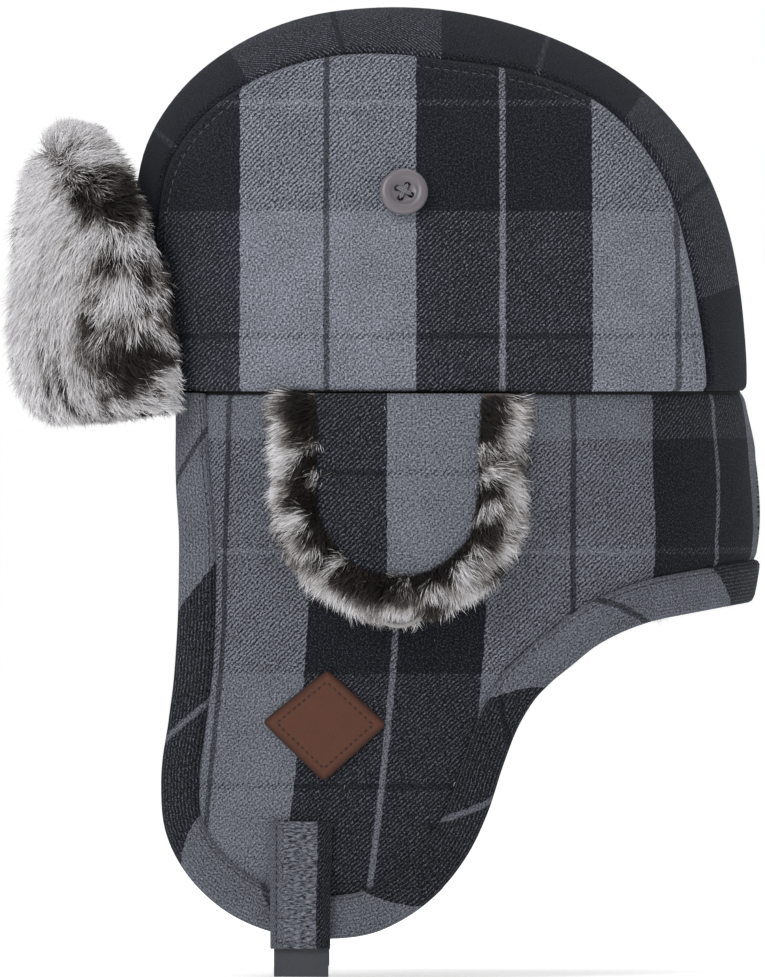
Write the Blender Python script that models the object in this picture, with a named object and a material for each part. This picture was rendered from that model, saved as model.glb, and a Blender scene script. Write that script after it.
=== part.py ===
"""Trapper hat: wool crown, fur visor, fur-lined ear flaps with ear-port flaps, neck curtain and chin straps.

The frame is the head's: +Z is up, the hat faces -Y, the wearer's left is +X, and the origin is the centre of the
head opening at the height of the seam between crown and skirt. Lengths are in metres.
"""

import math

import bmesh
import bpy
import numpy as np
from mathutils import Matrix, Vector

MM = 0.001
GAP = 0.3 * MM  # between pieces that are sewn together
LAYER_GAP = 0.6 * MM  # between layers of wool, padding and lining

# Crown
CROWN_HALF_WIDTH = 95 * MM
PLAN_POWER = 2.3  # 2 is an ellipse, more is boxier
CROWN_PROFILE_DEG = (0, 10, 20, 30, 40, 50, 60, 70, 80, 90, 100, 110, 120, 130, 140, 150, 160, 170, 180)
CROWN_PROFILE_MM = (
    112.0, 113.6, 118.4, 128.0, 139.0, 144.4, 145.6, 144.4, 141.3, 138.2,
    135.7, 133.8, 131.8, 129.0, 125.0, 119.6, 115.0, 112.4, 111.2,
)  # from the centre of the opening to the skin, from the front (0) over the top (90) to the back (180)
STRIP_SHARE_DEG = (0, 40, 60, 75, 90, 105, 120, 135, 150, 180)
STRIP_SHARE = (0.935, 0.930, 0.905, 0.890, 0.874, 0.892, 0.908, 0.893, 0.868, 0.870)
WOOL = 1.8 * MM
CROWN_PADDING = 3.0 * MM
CROWN_LINING = 1.2 * MM
BAND_HALF_WIDTH = 85.6 * MM
BAND_HALF_LENGTH = 101.3 * MM
BAND_THICKNESS = 2.0 * MM
BAND_BOTTOM = 1.5 * MM
BAND_TOP = 30.0 * MM

# Buttons that hold the ear-port flaps open
BUTTON_Y = -13.3 * MM
BUTTON_Z = 70.6 * MM
BUTTON_RADIUS = 8.7 * MM
BUTTON_THICKNESS = 3.2 * MM
BUTTON_STAND = 2.3 * MM
BUTTON_HOLE_RADIUS = 1.15 * MM
BUTTON_HOLE_SPREAD = 2.75 * MM
BUTTON_TURN_DEG = 18.0
THREAD_RADIUS = 0.6 * MM

# Skirt: half width and the half lengths to the front and back at each height
SKIRT_Z_MM = (0, -25, -50, -75, -100, -130, -160, -200, -230)
SKIRT_HALF_WIDTH_MM = (92.5, 94.5, 94.5, 93.0, 90.5, 87.5, 84.5, 81.0, 79.0)
SKIRT_FRONT_MM = (110.0, 117.0, 123.0, 127.0, 129.0, 131.0, 132.0, 132.0, 132.0)
SKIRT_BACK_MM = (109.8, 113.8, 115.4, 111.8, 108.0, 106.0, 105.0, 105.0, 105.0)
SKIRT_TOP = -1.0 * MM
FLAP_BACK_Y = 40.0 * MM
FLAP_OUTLINE_MM = (
    (-94.4, -1.0), (-94.6, -18.0), (-94.2, -36.0), (-93.4, -54.0), (-93.6, -76.0), (-94.8, -99.0),
    (-97.4, -120.0), (-99.6, -139.0), (-98.4, -158.0), (-90.4, -173.5), (-75.5, -187.0), (-59.0, -193.8),
    (-40.0, -195.6), (-25.0, -193.6), (-11.5, -187.0), (0.0, -177.2), (8.8, -165.4), (15.6, -151.0),
    (21.2, -134.0), (27.4, -118.6), (33.6, -109.0), (40.0, -102.6),
)
FLAP_CORNER = 9  # the outline's point where its front edge gives way to its bottom edge
HEM_Y_MM = (40.0, 46.8, 54.0, 61.6, 74.2, 89.3, 104.0, 118.0)
HEM_Z_MM = (-102.6, -97.2, -91.4, -87.0, -82.0, -79.0, -76.4, -74.8)
INTERLINING = 1.6 * MM
INTERLINING_INSET = 13.0 * MM
SHELL_INSET = 0.7 * MM
FUR_LINING = 9.0 * MM
BINDING_WIDTH = 14.0 * MM
BINDING_INNER_WIDTH = 10.0 * MM
BINDING_THICKNESS = 1.5 * MM
BINDING_TURN = 25.0 * MM  # over this length the binding turns to meet the next piece's square on

# Ear holes and the port flaps over them
EAR_HOLE_Y = -15.0 * MM
EAR_HOLE_Z = -35.0 * MM
EAR_HOLE_HALF_WIDTH = 18.0 * MM
EAR_HOLE_HALF_HEIGHT = 22.0 * MM
PORT_Y = -15.0 * MM
PORT_HALF_WIDTH = 30.5 * MM
PORT_LENGTH = 68.0 * MM
PORT_FUR_REACH = 12.0 * MM
PORT_FUR_TOP = 1.6 * MM
PORT_FUR_INNER = 4.0 * MM
PORT_FUR_RING = 9.0 * MM
PORT_HINGE_X = 98.8 * MM
LOOP_RADIUS = 0.9 * MM
LOOP_HALF_WIDTH = 9.9 * MM

# Ear flap fold line, outside the port flap so that the flap clears the crown
FLAP_HINGE_X = 100.0 * MM

# Leather patch on the wearer's left
PATCH_CORNERS_MM = ((-40.7, -99.7), (-19.1, -119.5), (-42.1, -140.4), (-64.1, -118.8))
PATCH_THICKNESS = 1.4 * MM

# Chin straps
STRAP_Y = -50.0 * MM
STRAP_WIDTH = 22.0 * MM
STRAP_THICKNESS = 2.4 * MM
STRAP_STAND = 2.4 * MM
STRAP_TOP = -154.5 * MM
STRAP_FOLD = -173.0 * MM
STRAP_END = -200.5 * MM
TAPE_WIDTH = 20.0 * MM
TAPE_THICKNESS = 1.2 * MM
TAPE_TOP = -198.0 * MM
TAPE_END = -210.8 * MM

# Visor
VISOR_HALF_WIDTH = 64.0 * MM
VISOR_BOTTOM = 3.0 * MM
VISOR_HEIGHT = 88.0 * MM
VISOR_STAND = 4.0 * MM
VISOR_LEAN = 6.0 * MM
VISOR_STIFFENER = 1.6 * MM
VISOR_FUR = 24.0 * MM
VISOR_FUR_EDGE = 8.0 * MM

PHI_STEPS = 16
LAMBDA_STEPS = 5


# ---------------------------------------------------------------- shapes as functions

def table(x, xs, ys):
    """A smooth curve through a table's points, by Catmull-Rom spans."""
    xs = np.asarray(xs, float)
    ys = np.asarray(ys, float)
    if xs[0] > xs[-1]:
        xs, ys = xs[::-1], ys[::-1]
    x = float(np.clip(x, xs[0], xs[-1]))
    i = int(np.clip(np.searchsorted(xs, x) - 1, 0, len(xs) - 2))
    slopes = np.gradient(ys, xs)
    span = xs[i + 1] - xs[i]
    s = (x - xs[i]) / span
    return (
        (2 * s**3 - 3 * s**2 + 1) * ys[i]
        + (s**3 - 2 * s**2 + s) * span * slopes[i]
        + (3 * s**2 - 2 * s**3) * ys[i + 1]
        + (s**3 - s**2) * span * slopes[i + 1]
    )


def crown_point(phi, lam, inset):
    """A point of the crown: phi runs from the front (0) over the top to the back (180), lam from the middle to the
    wearer's left (90), and inset is how far the skin is taken in."""
    radius = table(phi, CROWN_PROFILE_DEG, CROWN_PROFILE_MM) * MM - inset
    a = math.radians(abs(lam))
    out = math.sin(a) ** (2 / PLAN_POWER) * (CROWN_HALF_WIDTH - inset)
    share = max(math.cos(a), 0.0) ** (2 / PLAN_POWER)
    p = math.radians(phi)
    return np.array([
        math.copysign(out, lam),
        -share * radius * math.cos(p),
        share * radius * math.sin(p),
    ])


def seam_lambda(phi):
    """Where the centre panel ends and the side panel begins."""
    share = table(phi, STRIP_SHARE_DEG, STRIP_SHARE)
    return math.degrees(math.acos(share ** (PLAN_POWER / 2)))


def crown_normal(phi, lam):
    h = 0.5
    a = crown_point(phi + h, lam, 0) - crown_point(phi - h, lam, 0)
    b = crown_point(phi, lam + h, 0) - crown_point(phi, lam - h, 0)
    n = np.cross(b, a)
    n /= np.linalg.norm(n)
    return n if n @ crown_point(phi, lam, 0) > 0 else -n


def skirt_sizes(z):
    z_mm = z / MM
    return (
        table(z_mm, SKIRT_Z_MM, SKIRT_HALF_WIDTH_MM) * MM,
        table(z_mm, SKIRT_Z_MM, SKIRT_FRONT_MM) * MM,
        table(z_mm, SKIRT_Z_MM, SKIRT_BACK_MM) * MM,
    )


def turn_at(y, z):
    """The skirt's turn, in degrees from straight out at the wearer's left, where it passes this y."""
    _, front, back = skirt_sizes(z)
    share = min(abs(y) / (front if y < 0 else back), 1.0)
    return math.copysign(math.degrees(math.asin(share ** (PLAN_POWER / 2))), y)


def skirt_skin(turn, z):
    """A point of the skirt's outer skin on the wearer's left."""
    half, front, back = skirt_sizes(z)
    a = math.radians(abs(turn))
    along = math.sin(a) ** (2 / PLAN_POWER)
    out = max(math.cos(a), 0.0) ** (2 / PLAN_POWER)
    return np.array([half * out, -front * along if turn < 0 else back * along, z])


def skirt_frame(turn, z):
    """The skin's point, its slopes along turn and z, and its normal."""
    h, k = 0.4, 0.4 * MM
    if turn > 89.5:
        turn_low, turn_high = turn - 2 * h, turn - h
    else:
        turn_low, turn_high = turn - h, turn + h
    along = (skirt_skin(turn_high, z) - skirt_skin(turn_low, z)) / (turn_high - turn_low)
    up = (skirt_skin(turn, z + k) - skirt_skin(turn, z - k)) / (2 * k)
    n = np.cross(along, up)
    return skirt_skin(turn, z), along, up, n / np.linalg.norm(n)


def skirt_point(turn, z, off):
    """A point that stands off the skirt's skin, or lies inside it where off is negative."""
    p, _, _, n = skirt_frame(turn, z)
    if turn > 89.0:
        n = np.array([0.0, n[1], n[2]])
        n /= np.linalg.norm(n)
    return p + n * off


def skirt_at(y, z, off):
    return skirt_point(turn_at(y, z), z, off)


def smooth_path(points, steps):
    """A path of steps + 1 points, evenly spread along a smooth curve through the given points."""
    points = np.asarray(points, float)
    lengths = np.concatenate([[0], np.cumsum(np.linalg.norm(np.diff(points, axis=0), axis=1))])
    at = np.linspace(0, lengths[-1], steps + 1)
    return np.array([[table(s, lengths, points[:, k]) for k in range(2)] for s in at])


def inwards(path, off):
    """A path in (y, z) moved to its left by off."""
    slope = np.gradient(path, axis=0)
    slope /= np.linalg.norm(slope, axis=1)[:, None]
    return path + np.stack([-slope[:, 1], slope[:, 0]], axis=1) * off


def resampled(path, steps):
    """The path again with steps + 1 points, evenly spread."""
    lengths = np.concatenate([[0], np.cumsum(np.linalg.norm(np.diff(path, axis=0), axis=1))])
    at = np.linspace(0, lengths[-1], steps + 1)
    return np.stack([np.interp(at, lengths, path[:, k]) for k in range(2)], axis=1)


def flap_edges(inset, along=13, down=8):
    """The ear flap's front and bottom edges in (y, z), taken in by inset and cut off at its back edge."""
    beyond = tuple(zip(HEM_Y_MM[1:3], HEM_Z_MM[1:3]))
    outline = np.array(FLAP_OUTLINE_MM + beyond) * MM
    path = smooth_path(outline, 160)
    corner = int(np.argmin(np.linalg.norm(path - outline[FLAP_CORNER], axis=1)))
    moved = inwards(path, inset)
    back_y = FLAP_BACK_Y - 0.25 * MM
    last = corner + int(np.argmax(moved[corner:, 0] > back_y))
    share = (back_y - moved[last - 1, 0]) / (moved[last, 0] - moved[last - 1, 0])
    end = moved[last - 1] + (moved[last] - moved[last - 1]) * share
    front, bottom = moved[: corner + 1], np.concatenate([moved[corner:last], [end]])
    return resampled(front, down), resampled(bottom, along)


def flap_grid(inset, off):
    """The ear flap as a grid of points, filled between its four edges."""
    front, bottom = flap_edges(inset)
    back_y = FLAP_BACK_Y - 0.25 * MM
    front[:, 1] = np.minimum(front[:, 1], SKIRT_TOP)
    front[0, 1] = SKIRT_TOP
    rows, columns = len(front), len(bottom)
    top = np.stack([np.linspace(front[0, 0], back_y, columns), np.full(columns, SKIRT_TOP)], axis=1)
    back = np.stack([np.full(rows, back_y), np.linspace(SKIRT_TOP, bottom[-1, 1], rows)], axis=1)
    grid = np.zeros((rows, columns, 3))
    for i in range(rows):
        v = i / (rows - 1)
        for j in range(columns):
            u = j / (columns - 1)
            flat = (
                (1 - u) * front[i] + u * back[i] + (1 - v) * top[j] + v * bottom[j]
                - (1 - u) * (1 - v) * front[0] - u * (1 - v) * top[-1]
                - (1 - u) * v * front[-1] - u * v * bottom[-1]
            )
            grid[i, j] = skirt_at(flat[0], flat[1], off)
    return grid


def curtain_place(s, v, inset):
    """The turn and height on the neck curtain: s runs from its middle (0) to the ear flap (1), v from top to hem."""
    start = FLAP_BACK_Y + 0.25 * MM
    z = SKIRT_TOP
    for _ in range(6):
        turn = 90 - s * (90 - turn_at(start, z))
        y = skirt_skin(turn, z)[1]
        hem, ahead = (table(y / MM + d, HEM_Y_MM, HEM_Z_MM) * MM for d in (0, 1))
        hem += inset * math.hypot(1, (ahead - hem) / MM)
        z = SKIRT_TOP + v * (hem - SKIRT_TOP)
    return turn, z


def curtain_grid(sides, inset, off, columns=11, rows=4, middle_gap=0.0):
    """The neck curtain as a grid of points over the given range of s, where the wearer's right is negative."""
    low, high = sides
    grid = np.zeros((rows + 1, columns + 1, 3))
    for i in range(rows + 1):
        for j in range(columns + 1):
            s = low + (high - low) * j / columns
            turn, z = curtain_place(abs(s), i / rows, inset)
            p = skirt_point(turn, z, off)
            p[0] = max(p[0], middle_gap) * (-1 if s < 0 else 1)
            if s == 0:
                p[0] = middle_gap * (1 if high > 0 else -1)
            grid[i, j] = p
    return grid


def visor_point(u, v, off):
    """A point of the turned-up visor: u runs across it from -1 to 1, v up it from 0 to 1, off forward of its back."""
    x = u * VISOR_HALF_WIDTH * (1 - 0.14 * max(v, 0.0) ** 3)
    z = VISOR_BOTTOM + VISOR_HEIGHT * v * (1 - 0.32 * abs(u) ** 4)
    half, length = CROWN_HALF_WIDTH + 3 * MM, table(0, CROWN_PROFILE_DEG, CROWN_PROFILE_MM) * MM + 3 * MM
    share = min(abs(x) / half, 0.98)
    y = -length * (1 - share**PLAN_POWER) ** (1 / PLAN_POWER)
    slope = length * (share ** (PLAN_POWER - 1)) * (1 - share**PLAN_POWER) ** (1 / PLAN_POWER - 1) / half
    n = np.array([math.copysign(slope, x) if x else 0.0, -1.0, 0.0])
    n /= np.linalg.norm(n)
    p = np.array([x, y - VISOR_STAND - VISOR_LEAN * z / VISOR_HEIGHT, z])
    return p + n * off


def port_patch(reach, off_of, rings=5, straight=4, arc=8):
    """The port flap's shape as rows of points from its spine out to its edge. off_of(w, z) is how far each stands off
    the ear flap, where w is the distance from the spine."""
    spine_end = -(PORT_LENGTH - PORT_HALF_WIDTH)
    stations = []
    for z in np.linspace(SKIRT_TOP, spine_end, straight + 1)[:-1]:
        stations.append(((PORT_Y, z), (-1.0, 0.0)))
    for a in np.linspace(math.pi, 2 * math.pi, arc + 1):
        stations.append(((PORT_Y, spine_end), (math.cos(a), math.sin(a))))
    for z in np.linspace(spine_end, SKIRT_TOP, straight + 1)[1:]:
        stations.append(((PORT_Y, z), (1.0, 0.0)))
    grid = np.zeros((len(stations), rings + 1, 3))
    for i, (start, way) in enumerate(stations):
        for j in range(rings + 1):
            w = reach * j / rings
            y, z = start[0] + way[0] * w, start[1] + way[1] * w
            grid[i, j] = skirt_at(y, z, off_of(w, z))
    return grid


# ---------------------------------------------------------------- meshes

def clear_scene():
    for obj in list(bpy.data.objects):
        bpy.data.objects.remove(obj)


def material(name, colour, roughness=0.9, metallic=0.0):
    made = bpy.data.materials.new(name)
    made.use_nodes = True
    shader = made.node_tree.nodes["Principled BSDF"]
    shader.inputs["Base Color"].default_value = (*colour, 1.0)
    shader.inputs["Roughness"].default_value = roughness
    shader.inputs["Metallic"].default_value = metallic
    return made


def add_object(name, bm, colour, roughness=0.9, pivot=None):
    """A finished bmesh as an object with its own material, its origin at the pivot."""
    bmesh.ops.recalc_face_normals(bm, faces=bm.faces)
    mesh = bpy.data.meshes.new(name)
    if pivot is not None:
        bmesh.ops.translate(bm, verts=bm.verts, vec=-Vector(pivot))
    bm.to_mesh(mesh)
    bm.free()
    obj = bpy.data.objects.new(name, mesh)
    if pivot is not None:
        obj.location = pivot
    mesh.materials.append(material(name + "_material", colour, roughness))
    bpy.context.scene.collection.objects.link(obj)
    return obj


def mirrored(points, side):
    points = np.array(points, float)
    points[..., 0] *= side
    return points


def solid_between(outer, inner):
    """A closed bmesh between two grids of the same size. Points of a grid that coincide become one."""
    rows, columns = outer.shape[:2]
    flat = np.concatenate([outer.reshape(-1, 3), inner.reshape(-1, 3)])
    count = rows * columns
    keys = {}
    index = []
    bm = bmesh.new()
    for i, p in enumerate(flat):
        key = (i >= count, *np.round(p / (0.002 * MM)).astype(int))
        if key not in keys:
            keys[key] = bm.verts.new(p)
        index.append(keys[key])
    edges = {}
    for i in range(rows - 1):
        for j in range(columns - 1):
            ring = [i * columns + j, i * columns + j + 1, (i + 1) * columns + j + 1, (i + 1) * columns + j]
            for base, order in ((0, ring), (count, ring[::-1])):
                face = []
                for k in order:
                    vert = index[base + k]
                    if vert not in face:
                        face.append(vert)
                if len(face) > 2:
                    bm.faces.new(face)
                if base == 0 and len(face) > 2:
                    kept = [k for n, k in enumerate(ring) if index[k] is not index[ring[n - 1]]]
                    for n, k in enumerate(kept):
                        pair = (index[kept[n - 1]], index[k])
                        back = (pair[1], pair[0])
                        if back in edges:
                            del edges[back]
                        else:
                            edges[pair] = (kept[n - 1], k)
    for a, b in edges.values():
        bm.faces.new([index[b], index[a], index[count + a], index[count + b]])
    return bm


def sheet_between(name, outer, inner, colour, roughness=0.9, side=1, pivot=None):
    bm = solid_between(mirrored(outer, side), mirrored(inner, side))
    return add_object(name, bm, colour, roughness, pivot)


def box_in_frame(name, centre, axes, sizes, colour, roughness=0.9, pivot=None, bevel=0.0):
    """A box in its own frame, with its edges rounded by a Bevel modifier."""
    bm = bmesh.new()
    bmesh.ops.create_cube(bm, size=1.0)
    turn = Matrix([[axes[k][r] * sizes[k] for k in range(3)] for r in range(3)]).to_4x4()
    bmesh.ops.transform(bm, matrix=Matrix.Translation(Vector(centre)) @ turn, verts=bm.verts)
    obj = add_object(name, bm, colour, roughness, pivot)
    if bevel:
        rounding = obj.modifiers.new("rounding", "BEVEL")
        rounding.width = bevel
        rounding.segments = 2
        rounding.limit_method = "ANGLE"
    return obj


def cutter(name, bm):
    """A helper that only cuts."""
    obj = add_object(name, bm, (0.5, 0.5, 0.5))
    obj.hide_render = True
    obj.display_type = "WIRE"
    return obj


def cut(obj, tool):
    boolean = obj.modifiers.new("cut", "BOOLEAN")
    boolean.operation = "DIFFERENCE"
    boolean.solver = "EXACT"
    boolean.object = tool


def lathe(profile, steps, matrix):
    """A closed bmesh turned about the local Z axis from (radius, height) points, first and last on the axis."""
    bm = bmesh.new()
    rings = []
    for radius, height in profile:
        if radius == 0:
            rings.append([bm.verts.new((0, 0, height))])
            continue
        rings.append([
            bm.verts.new((radius * math.cos(a), radius * math.sin(a), height))
            for a in (2 * math.pi * k / steps for k in range(steps))
        ])
    for low, high in zip(rings, rings[1:]):
        for k in range(steps):
            m = (k + 1) % steps
            face = [low[k % len(low)], low[m % len(low)], high[m % len(high)], high[k % len(high)]]
            bm.faces.new(list(dict.fromkeys(face)))
    bmesh.ops.transform(bm, matrix=matrix, verts=bm.verts)
    return bm


def tube(path, radius, sides=8):
    """A closed round tube along a path of points, with flat ends."""
    bm = bmesh.new()
    path = [Vector(p) for p in path]
    rings = []
    across = None
    for i, p in enumerate(path):
        along = (path[min(i + 1, len(path) - 1)] - path[max(i - 1, 0)]).normalized()
        if across is None:
            across = along.orthogonal().normalized()
        across = (across - along * across.dot(along)).normalized()
        other = along.cross(across)
        rings.append([
            bm.verts.new(p + (across * math.cos(a) + other * math.sin(a)) * radius)
            for a in (2 * math.pi * k / sides for k in range(sides))
        ])
    for low, high in zip(rings, rings[1:]):
        for k in range(sides):
            bm.faces.new([low[k], low[(k + 1) % sides], high[(k + 1) % sides], high[k]])
    bm.faces.new(rings[0][::-1])
    bm.faces.new(rings[-1])
    return bm


# ---------------------------------------------------------------- crown

def lambda_row(phi, part, inset_deg):
    """The lam values across one part of the crown at phi."""
    seam = seam_lambda(phi)
    if part == "centre":
        return np.linspace(-seam + inset_deg, seam - inset_deg, 2 * LAMBDA_STEPS - 3)
    return np.linspace(seam + inset_deg, 90, LAMBDA_STEPS + 1)


def crown_grid(part, inset, seam_gap_deg=0.0):
    rows = []
    for phi in np.linspace(0, 180, PHI_STEPS + 1):
        if part == "whole":
            side = lambda_row(phi, "side", 0)
            row = np.concatenate([-side[::-1], lambda_row(phi, "centre", 0)[1:-1], side])
        else:
            row = lambda_row(phi, part, seam_gap_deg)
        rows.append([crown_point(phi, lam, inset) for lam in row])
    return np.array(rows)


def build_crown():
    gap_deg = math.degrees(0.5 * GAP / CROWN_HALF_WIDTH) * 1.4
    sheet_between(
        "centre_panel", crown_grid("centre", 0, gap_deg), crown_grid("centre", WOOL, gap_deg), (0.05, 0.05, 0.055)
    )
    for side, word in ((1, "left"), (-1, "right")):
        sheet_between(
            f"{word}_side_panel", crown_grid("side", 0, gap_deg), crown_grid("side", WOOL, gap_deg),
            (0.13, 0.14, 0.15), side=side,
        )
    depth = WOOL + LAYER_GAP
    sheet_between(
        "crown_padding", crown_grid("whole", depth), crown_grid("whole", depth + CROWN_PADDING), (0.8, 0.8, 0.78)
    )
    depth += CROWN_PADDING + LAYER_GAP
    sheet_between(
        "crown_lining", crown_grid("whole", depth), crown_grid("whole", depth + CROWN_LINING), (0.06, 0.06, 0.065),
        roughness=0.6,
    )
    band = []
    for inset in (0, BAND_THICKNESS):
        rows = []
        for z in np.linspace(BAND_BOTTOM, BAND_TOP, 3):
            row = []
            for a in np.linspace(0, 2 * math.pi, 33):
                c, s = math.cos(a), math.sin(a)
                row.append((
                    math.copysign(abs(c) ** (2 / PLAN_POWER), c) * (BAND_HALF_WIDTH - inset),
                    math.copysign(abs(s) ** (2 / PLAN_POWER), s) * (BAND_HALF_LENGTH - inset),
                    z,
                ))
            row[-1] = row[0]
            rows.append(row)
        band.append(np.array(rows))
    sheet_between("sweatband", band[0], band[1], (0.03, 0.03, 0.035), roughness=0.8)


def button_matrix(side):
    """Where the button sits on the crown's side, with local Z out of the wool."""
    phi = math.degrees(math.atan2(BUTTON_Z, -BUTTON_Y))
    radius = table(phi, CROWN_PROFILE_DEG, CROWN_PROFILE_MM) * MM
    share = math.hypot(BUTTON_Y, BUTTON_Z) / radius
    lam = math.degrees(math.acos(share ** (PLAN_POWER / 2)))
    n = crown_normal(phi, lam)
    n[0] *= side
    p = crown_point(phi, lam, 0)
    p[0] *= side
    turn = Vector(n).to_track_quat("Z", "Y").to_matrix().to_4x4()
    return Matrix.Translation(Vector(p)) @ turn @ Matrix.Rotation(math.radians(BUTTON_TURN_DEG), 4, "Z")


def build_button(side, word):
    place = button_matrix(side)
    low, high = BUTTON_STAND, BUTTON_STAND + BUTTON_THICKNESS
    r = BUTTON_RADIUS
    dish = 0.53 * r
    profile = [
        (0, low), (0.80 * r, low), (r, low + 0.35 * BUTTON_THICKNESS), (r, low + 0.60 * BUTTON_THICKNESS),
        (0.90 * r, high - 0.03 * BUTTON_THICKNESS), (0.80 * r, high), (0.62 * r, high - 0.06 * BUTTON_THICKNESS),
        (dish, high - 0.34 * BUTTON_THICKNESS), (0, high - 0.40 * BUTTON_THICKNESS),
    ]
    button = add_object(f"{word}_button", lathe(profile, 20, place), (0.16, 0.145, 0.155), 0.35)
    holes = bmesh.new()
    spots = [(x * BUTTON_HOLE_SPREAD * 0.7071, y * BUTTON_HOLE_SPREAD * 0.7071) for x in (-1, 1) for y in (-1, 1)]
    for x, y in spots:
        bmesh.ops.create_cone(
            holes, cap_ends=True, segments=8, radius1=BUTTON_HOLE_RADIUS, radius2=BUTTON_HOLE_RADIUS,
            depth=4 * BUTTON_THICKNESS,
            matrix=place @ Matrix.Translation((x, y, low + 0.5 * BUTTON_THICKNESS)),
        )
    cut(button, cutter(f"{word}_button_holes", holes))

    # One loop of thread from the shank up through two holes and over the middle, and one across it.
    top = high - 0.40 * BUTTON_THICKNESS + THREAD_RADIUS + GAP
    bottom = low - THREAD_RADIUS - GAP
    bars = []
    for (x0, y0), (x1, y1) in ((spots[0], spots[3]), (spots[1], spots[2])):
        lift = 0.0 if not bars else 0.3 * THREAD_RADIUS
        path = [
            (x0 * 0.3, y0 * 0.3, bottom), (x0, y0, bottom), (x0, y0, low + 0.3 * BUTTON_THICKNESS), (x0, y0, top + lift),
            (x1, y1, top + lift), (x1, y1, low + 0.3 * BUTTON_THICKNESS), (x1, y1, bottom), (x1 * 0.3, y1 * 0.3, bottom),
        ]
        bm = tube([place @ Vector(p) for p in path], THREAD_RADIUS, 6)
        bars.append(add_object(f"{word}_thread_part_{len(bars)}", bm, (0.5, 0.5, 0.5)))
    shank = lathe(
        [(0, GAP), (0.0016, GAP), (0.0016, bottom), (0.0012, bottom + 0.4 * THREAD_RADIUS), (0, bottom + 0.4 * THREAD_RADIUS)],
        10, place,
    )
    thread = add_object(f"{word}_button_thread", shank, (0.55, 0.56, 0.58), 0.8)
    for bar in bars:
        bar.hide_render = True
        bar.display_type = "WIRE"
        join = thread.modifiers.new("join", "BOOLEAN")
        join.operation = "UNION"
        join.solver = "EXACT"
        join.object = bar


# ---------------------------------------------------------------- skirt

def ear_hole_cutter(side, word):
    bm = bmesh.new()
    bmesh.ops.create_cone(bm, cap_ends=True, segments=20, radius1=1.0, radius2=1.0, depth=1.0)
    scale = Matrix.Diagonal((EAR_HOLE_HALF_HEIGHT, EAR_HOLE_HALF_WIDTH, 60 * MM, 1.0))
    turn = Matrix.Rotation(math.radians(90), 4, "Y")
    place = Matrix.Translation((side * 88 * MM, EAR_HOLE_Y, EAR_HOLE_Z))
    bmesh.ops.transform(bm, matrix=place @ turn @ scale, verts=bm.verts)
    return cutter(f"{word}_ear_hole", bm)


def binding_between(name, edge, side, colour, upright, pivot=None):
    """A strip folded over an edge: edge holds (turn, z) points, with the piece on the left of its way. At the end
    that upright names (0 or -1) the strip is cut off straight, to meet the next piece's."""
    places = [skirt_frame(turn, z) for turn, z in edge]
    points = np.array([p for p, _, _, _ in places])
    slopes = np.gradient(points, axis=0)
    from_end = np.linalg.norm(points - points[upright], axis=1)
    out_high = GAP + BINDING_THICKNESS
    in_low = -(WOOL + LAYER_GAP)
    in_high = in_low - BINDING_THICKNESS
    lip = -GAP
    edge_out = lip - BINDING_THICKNESS
    section = [
        (BINDING_WIDTH, GAP), (BINDING_WIDTH, out_high), (0.5 * BINDING_WIDTH, out_high), (edge_out, out_high),
        (edge_out, in_high), (0.5 * BINDING_INNER_WIDTH, in_high), (BINDING_INNER_WIDTH, in_high),
        (BINDING_INNER_WIDTH, in_low), (0.5 * BINDING_INNER_WIDTH, in_low), (lip, in_low), (lip, GAP),
        (0.5 * BINDING_WIDTH, GAP),
    ]
    bm = bmesh.new()
    rings = []
    for (turn, z), (_, along, up, n), slope, distance in zip(edge, places, slopes, from_end):
        slope = slope - n * (slope @ n)
        inward = np.cross(n, slope / np.linalg.norm(slope))
        level = up - along * (up[1] / along[1]) if abs(along[1]) > 1e-5 else up
        level *= 1 / (level @ inward)
        share = max(0.0, 1 - distance / BINDING_TURN)
        inward = inward * (1 - share) + level * share
        ring = []
        for w, off in section:
            step, *_ = np.linalg.lstsq(np.stack([along, up], axis=1), inward * w, rcond=None)
            p = skirt_point(min(turn + step[0], 90.0), min(z + step[1], SKIRT_TOP), off)
            p[0] *= side
            ring.append(bm.verts.new(p))
        rings.append(ring)
    for low, high in zip(rings, rings[1:]):
        for k in range(len(section)):
            m = (k + 1) % len(section)
            bm.faces.new([low[k], low[m], high[m], high[k]])
    bm.faces.new(rings[0])
    bm.faces.new(rings[-1][::-1])
    return add_object(name, bm, colour, pivot=pivot)


def flap_binding_edge():
    outline = np.array(FLAP_OUTLINE_MM) * MM
    path = smooth_path(outline, 26)
    path[-1, 0] = FLAP_BACK_Y - 0.25 * MM
    return [(turn_at(y, z), z) for y, z in path]


def strap_frame(side):
    """The strap's fold: its middle on the outer face, the way across it, down it and out of it."""
    turn = turn_at(STRAP_Y, STRAP_FOLD)
    p, _, _, n = skirt_frame(turn, STRAP_FOLD)
    out = np.array([n[0], n[1], 0.0])
    out /= np.linalg.norm(out)
    start = p + out * STRAP_STAND
    across = np.array([-out[1], out[0], 0.0])
    flip = np.array([side, 1.0, 1.0])
    return start * flip, across * flip, np.array([0.0, 0.0, -1.0]), out * flip


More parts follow.
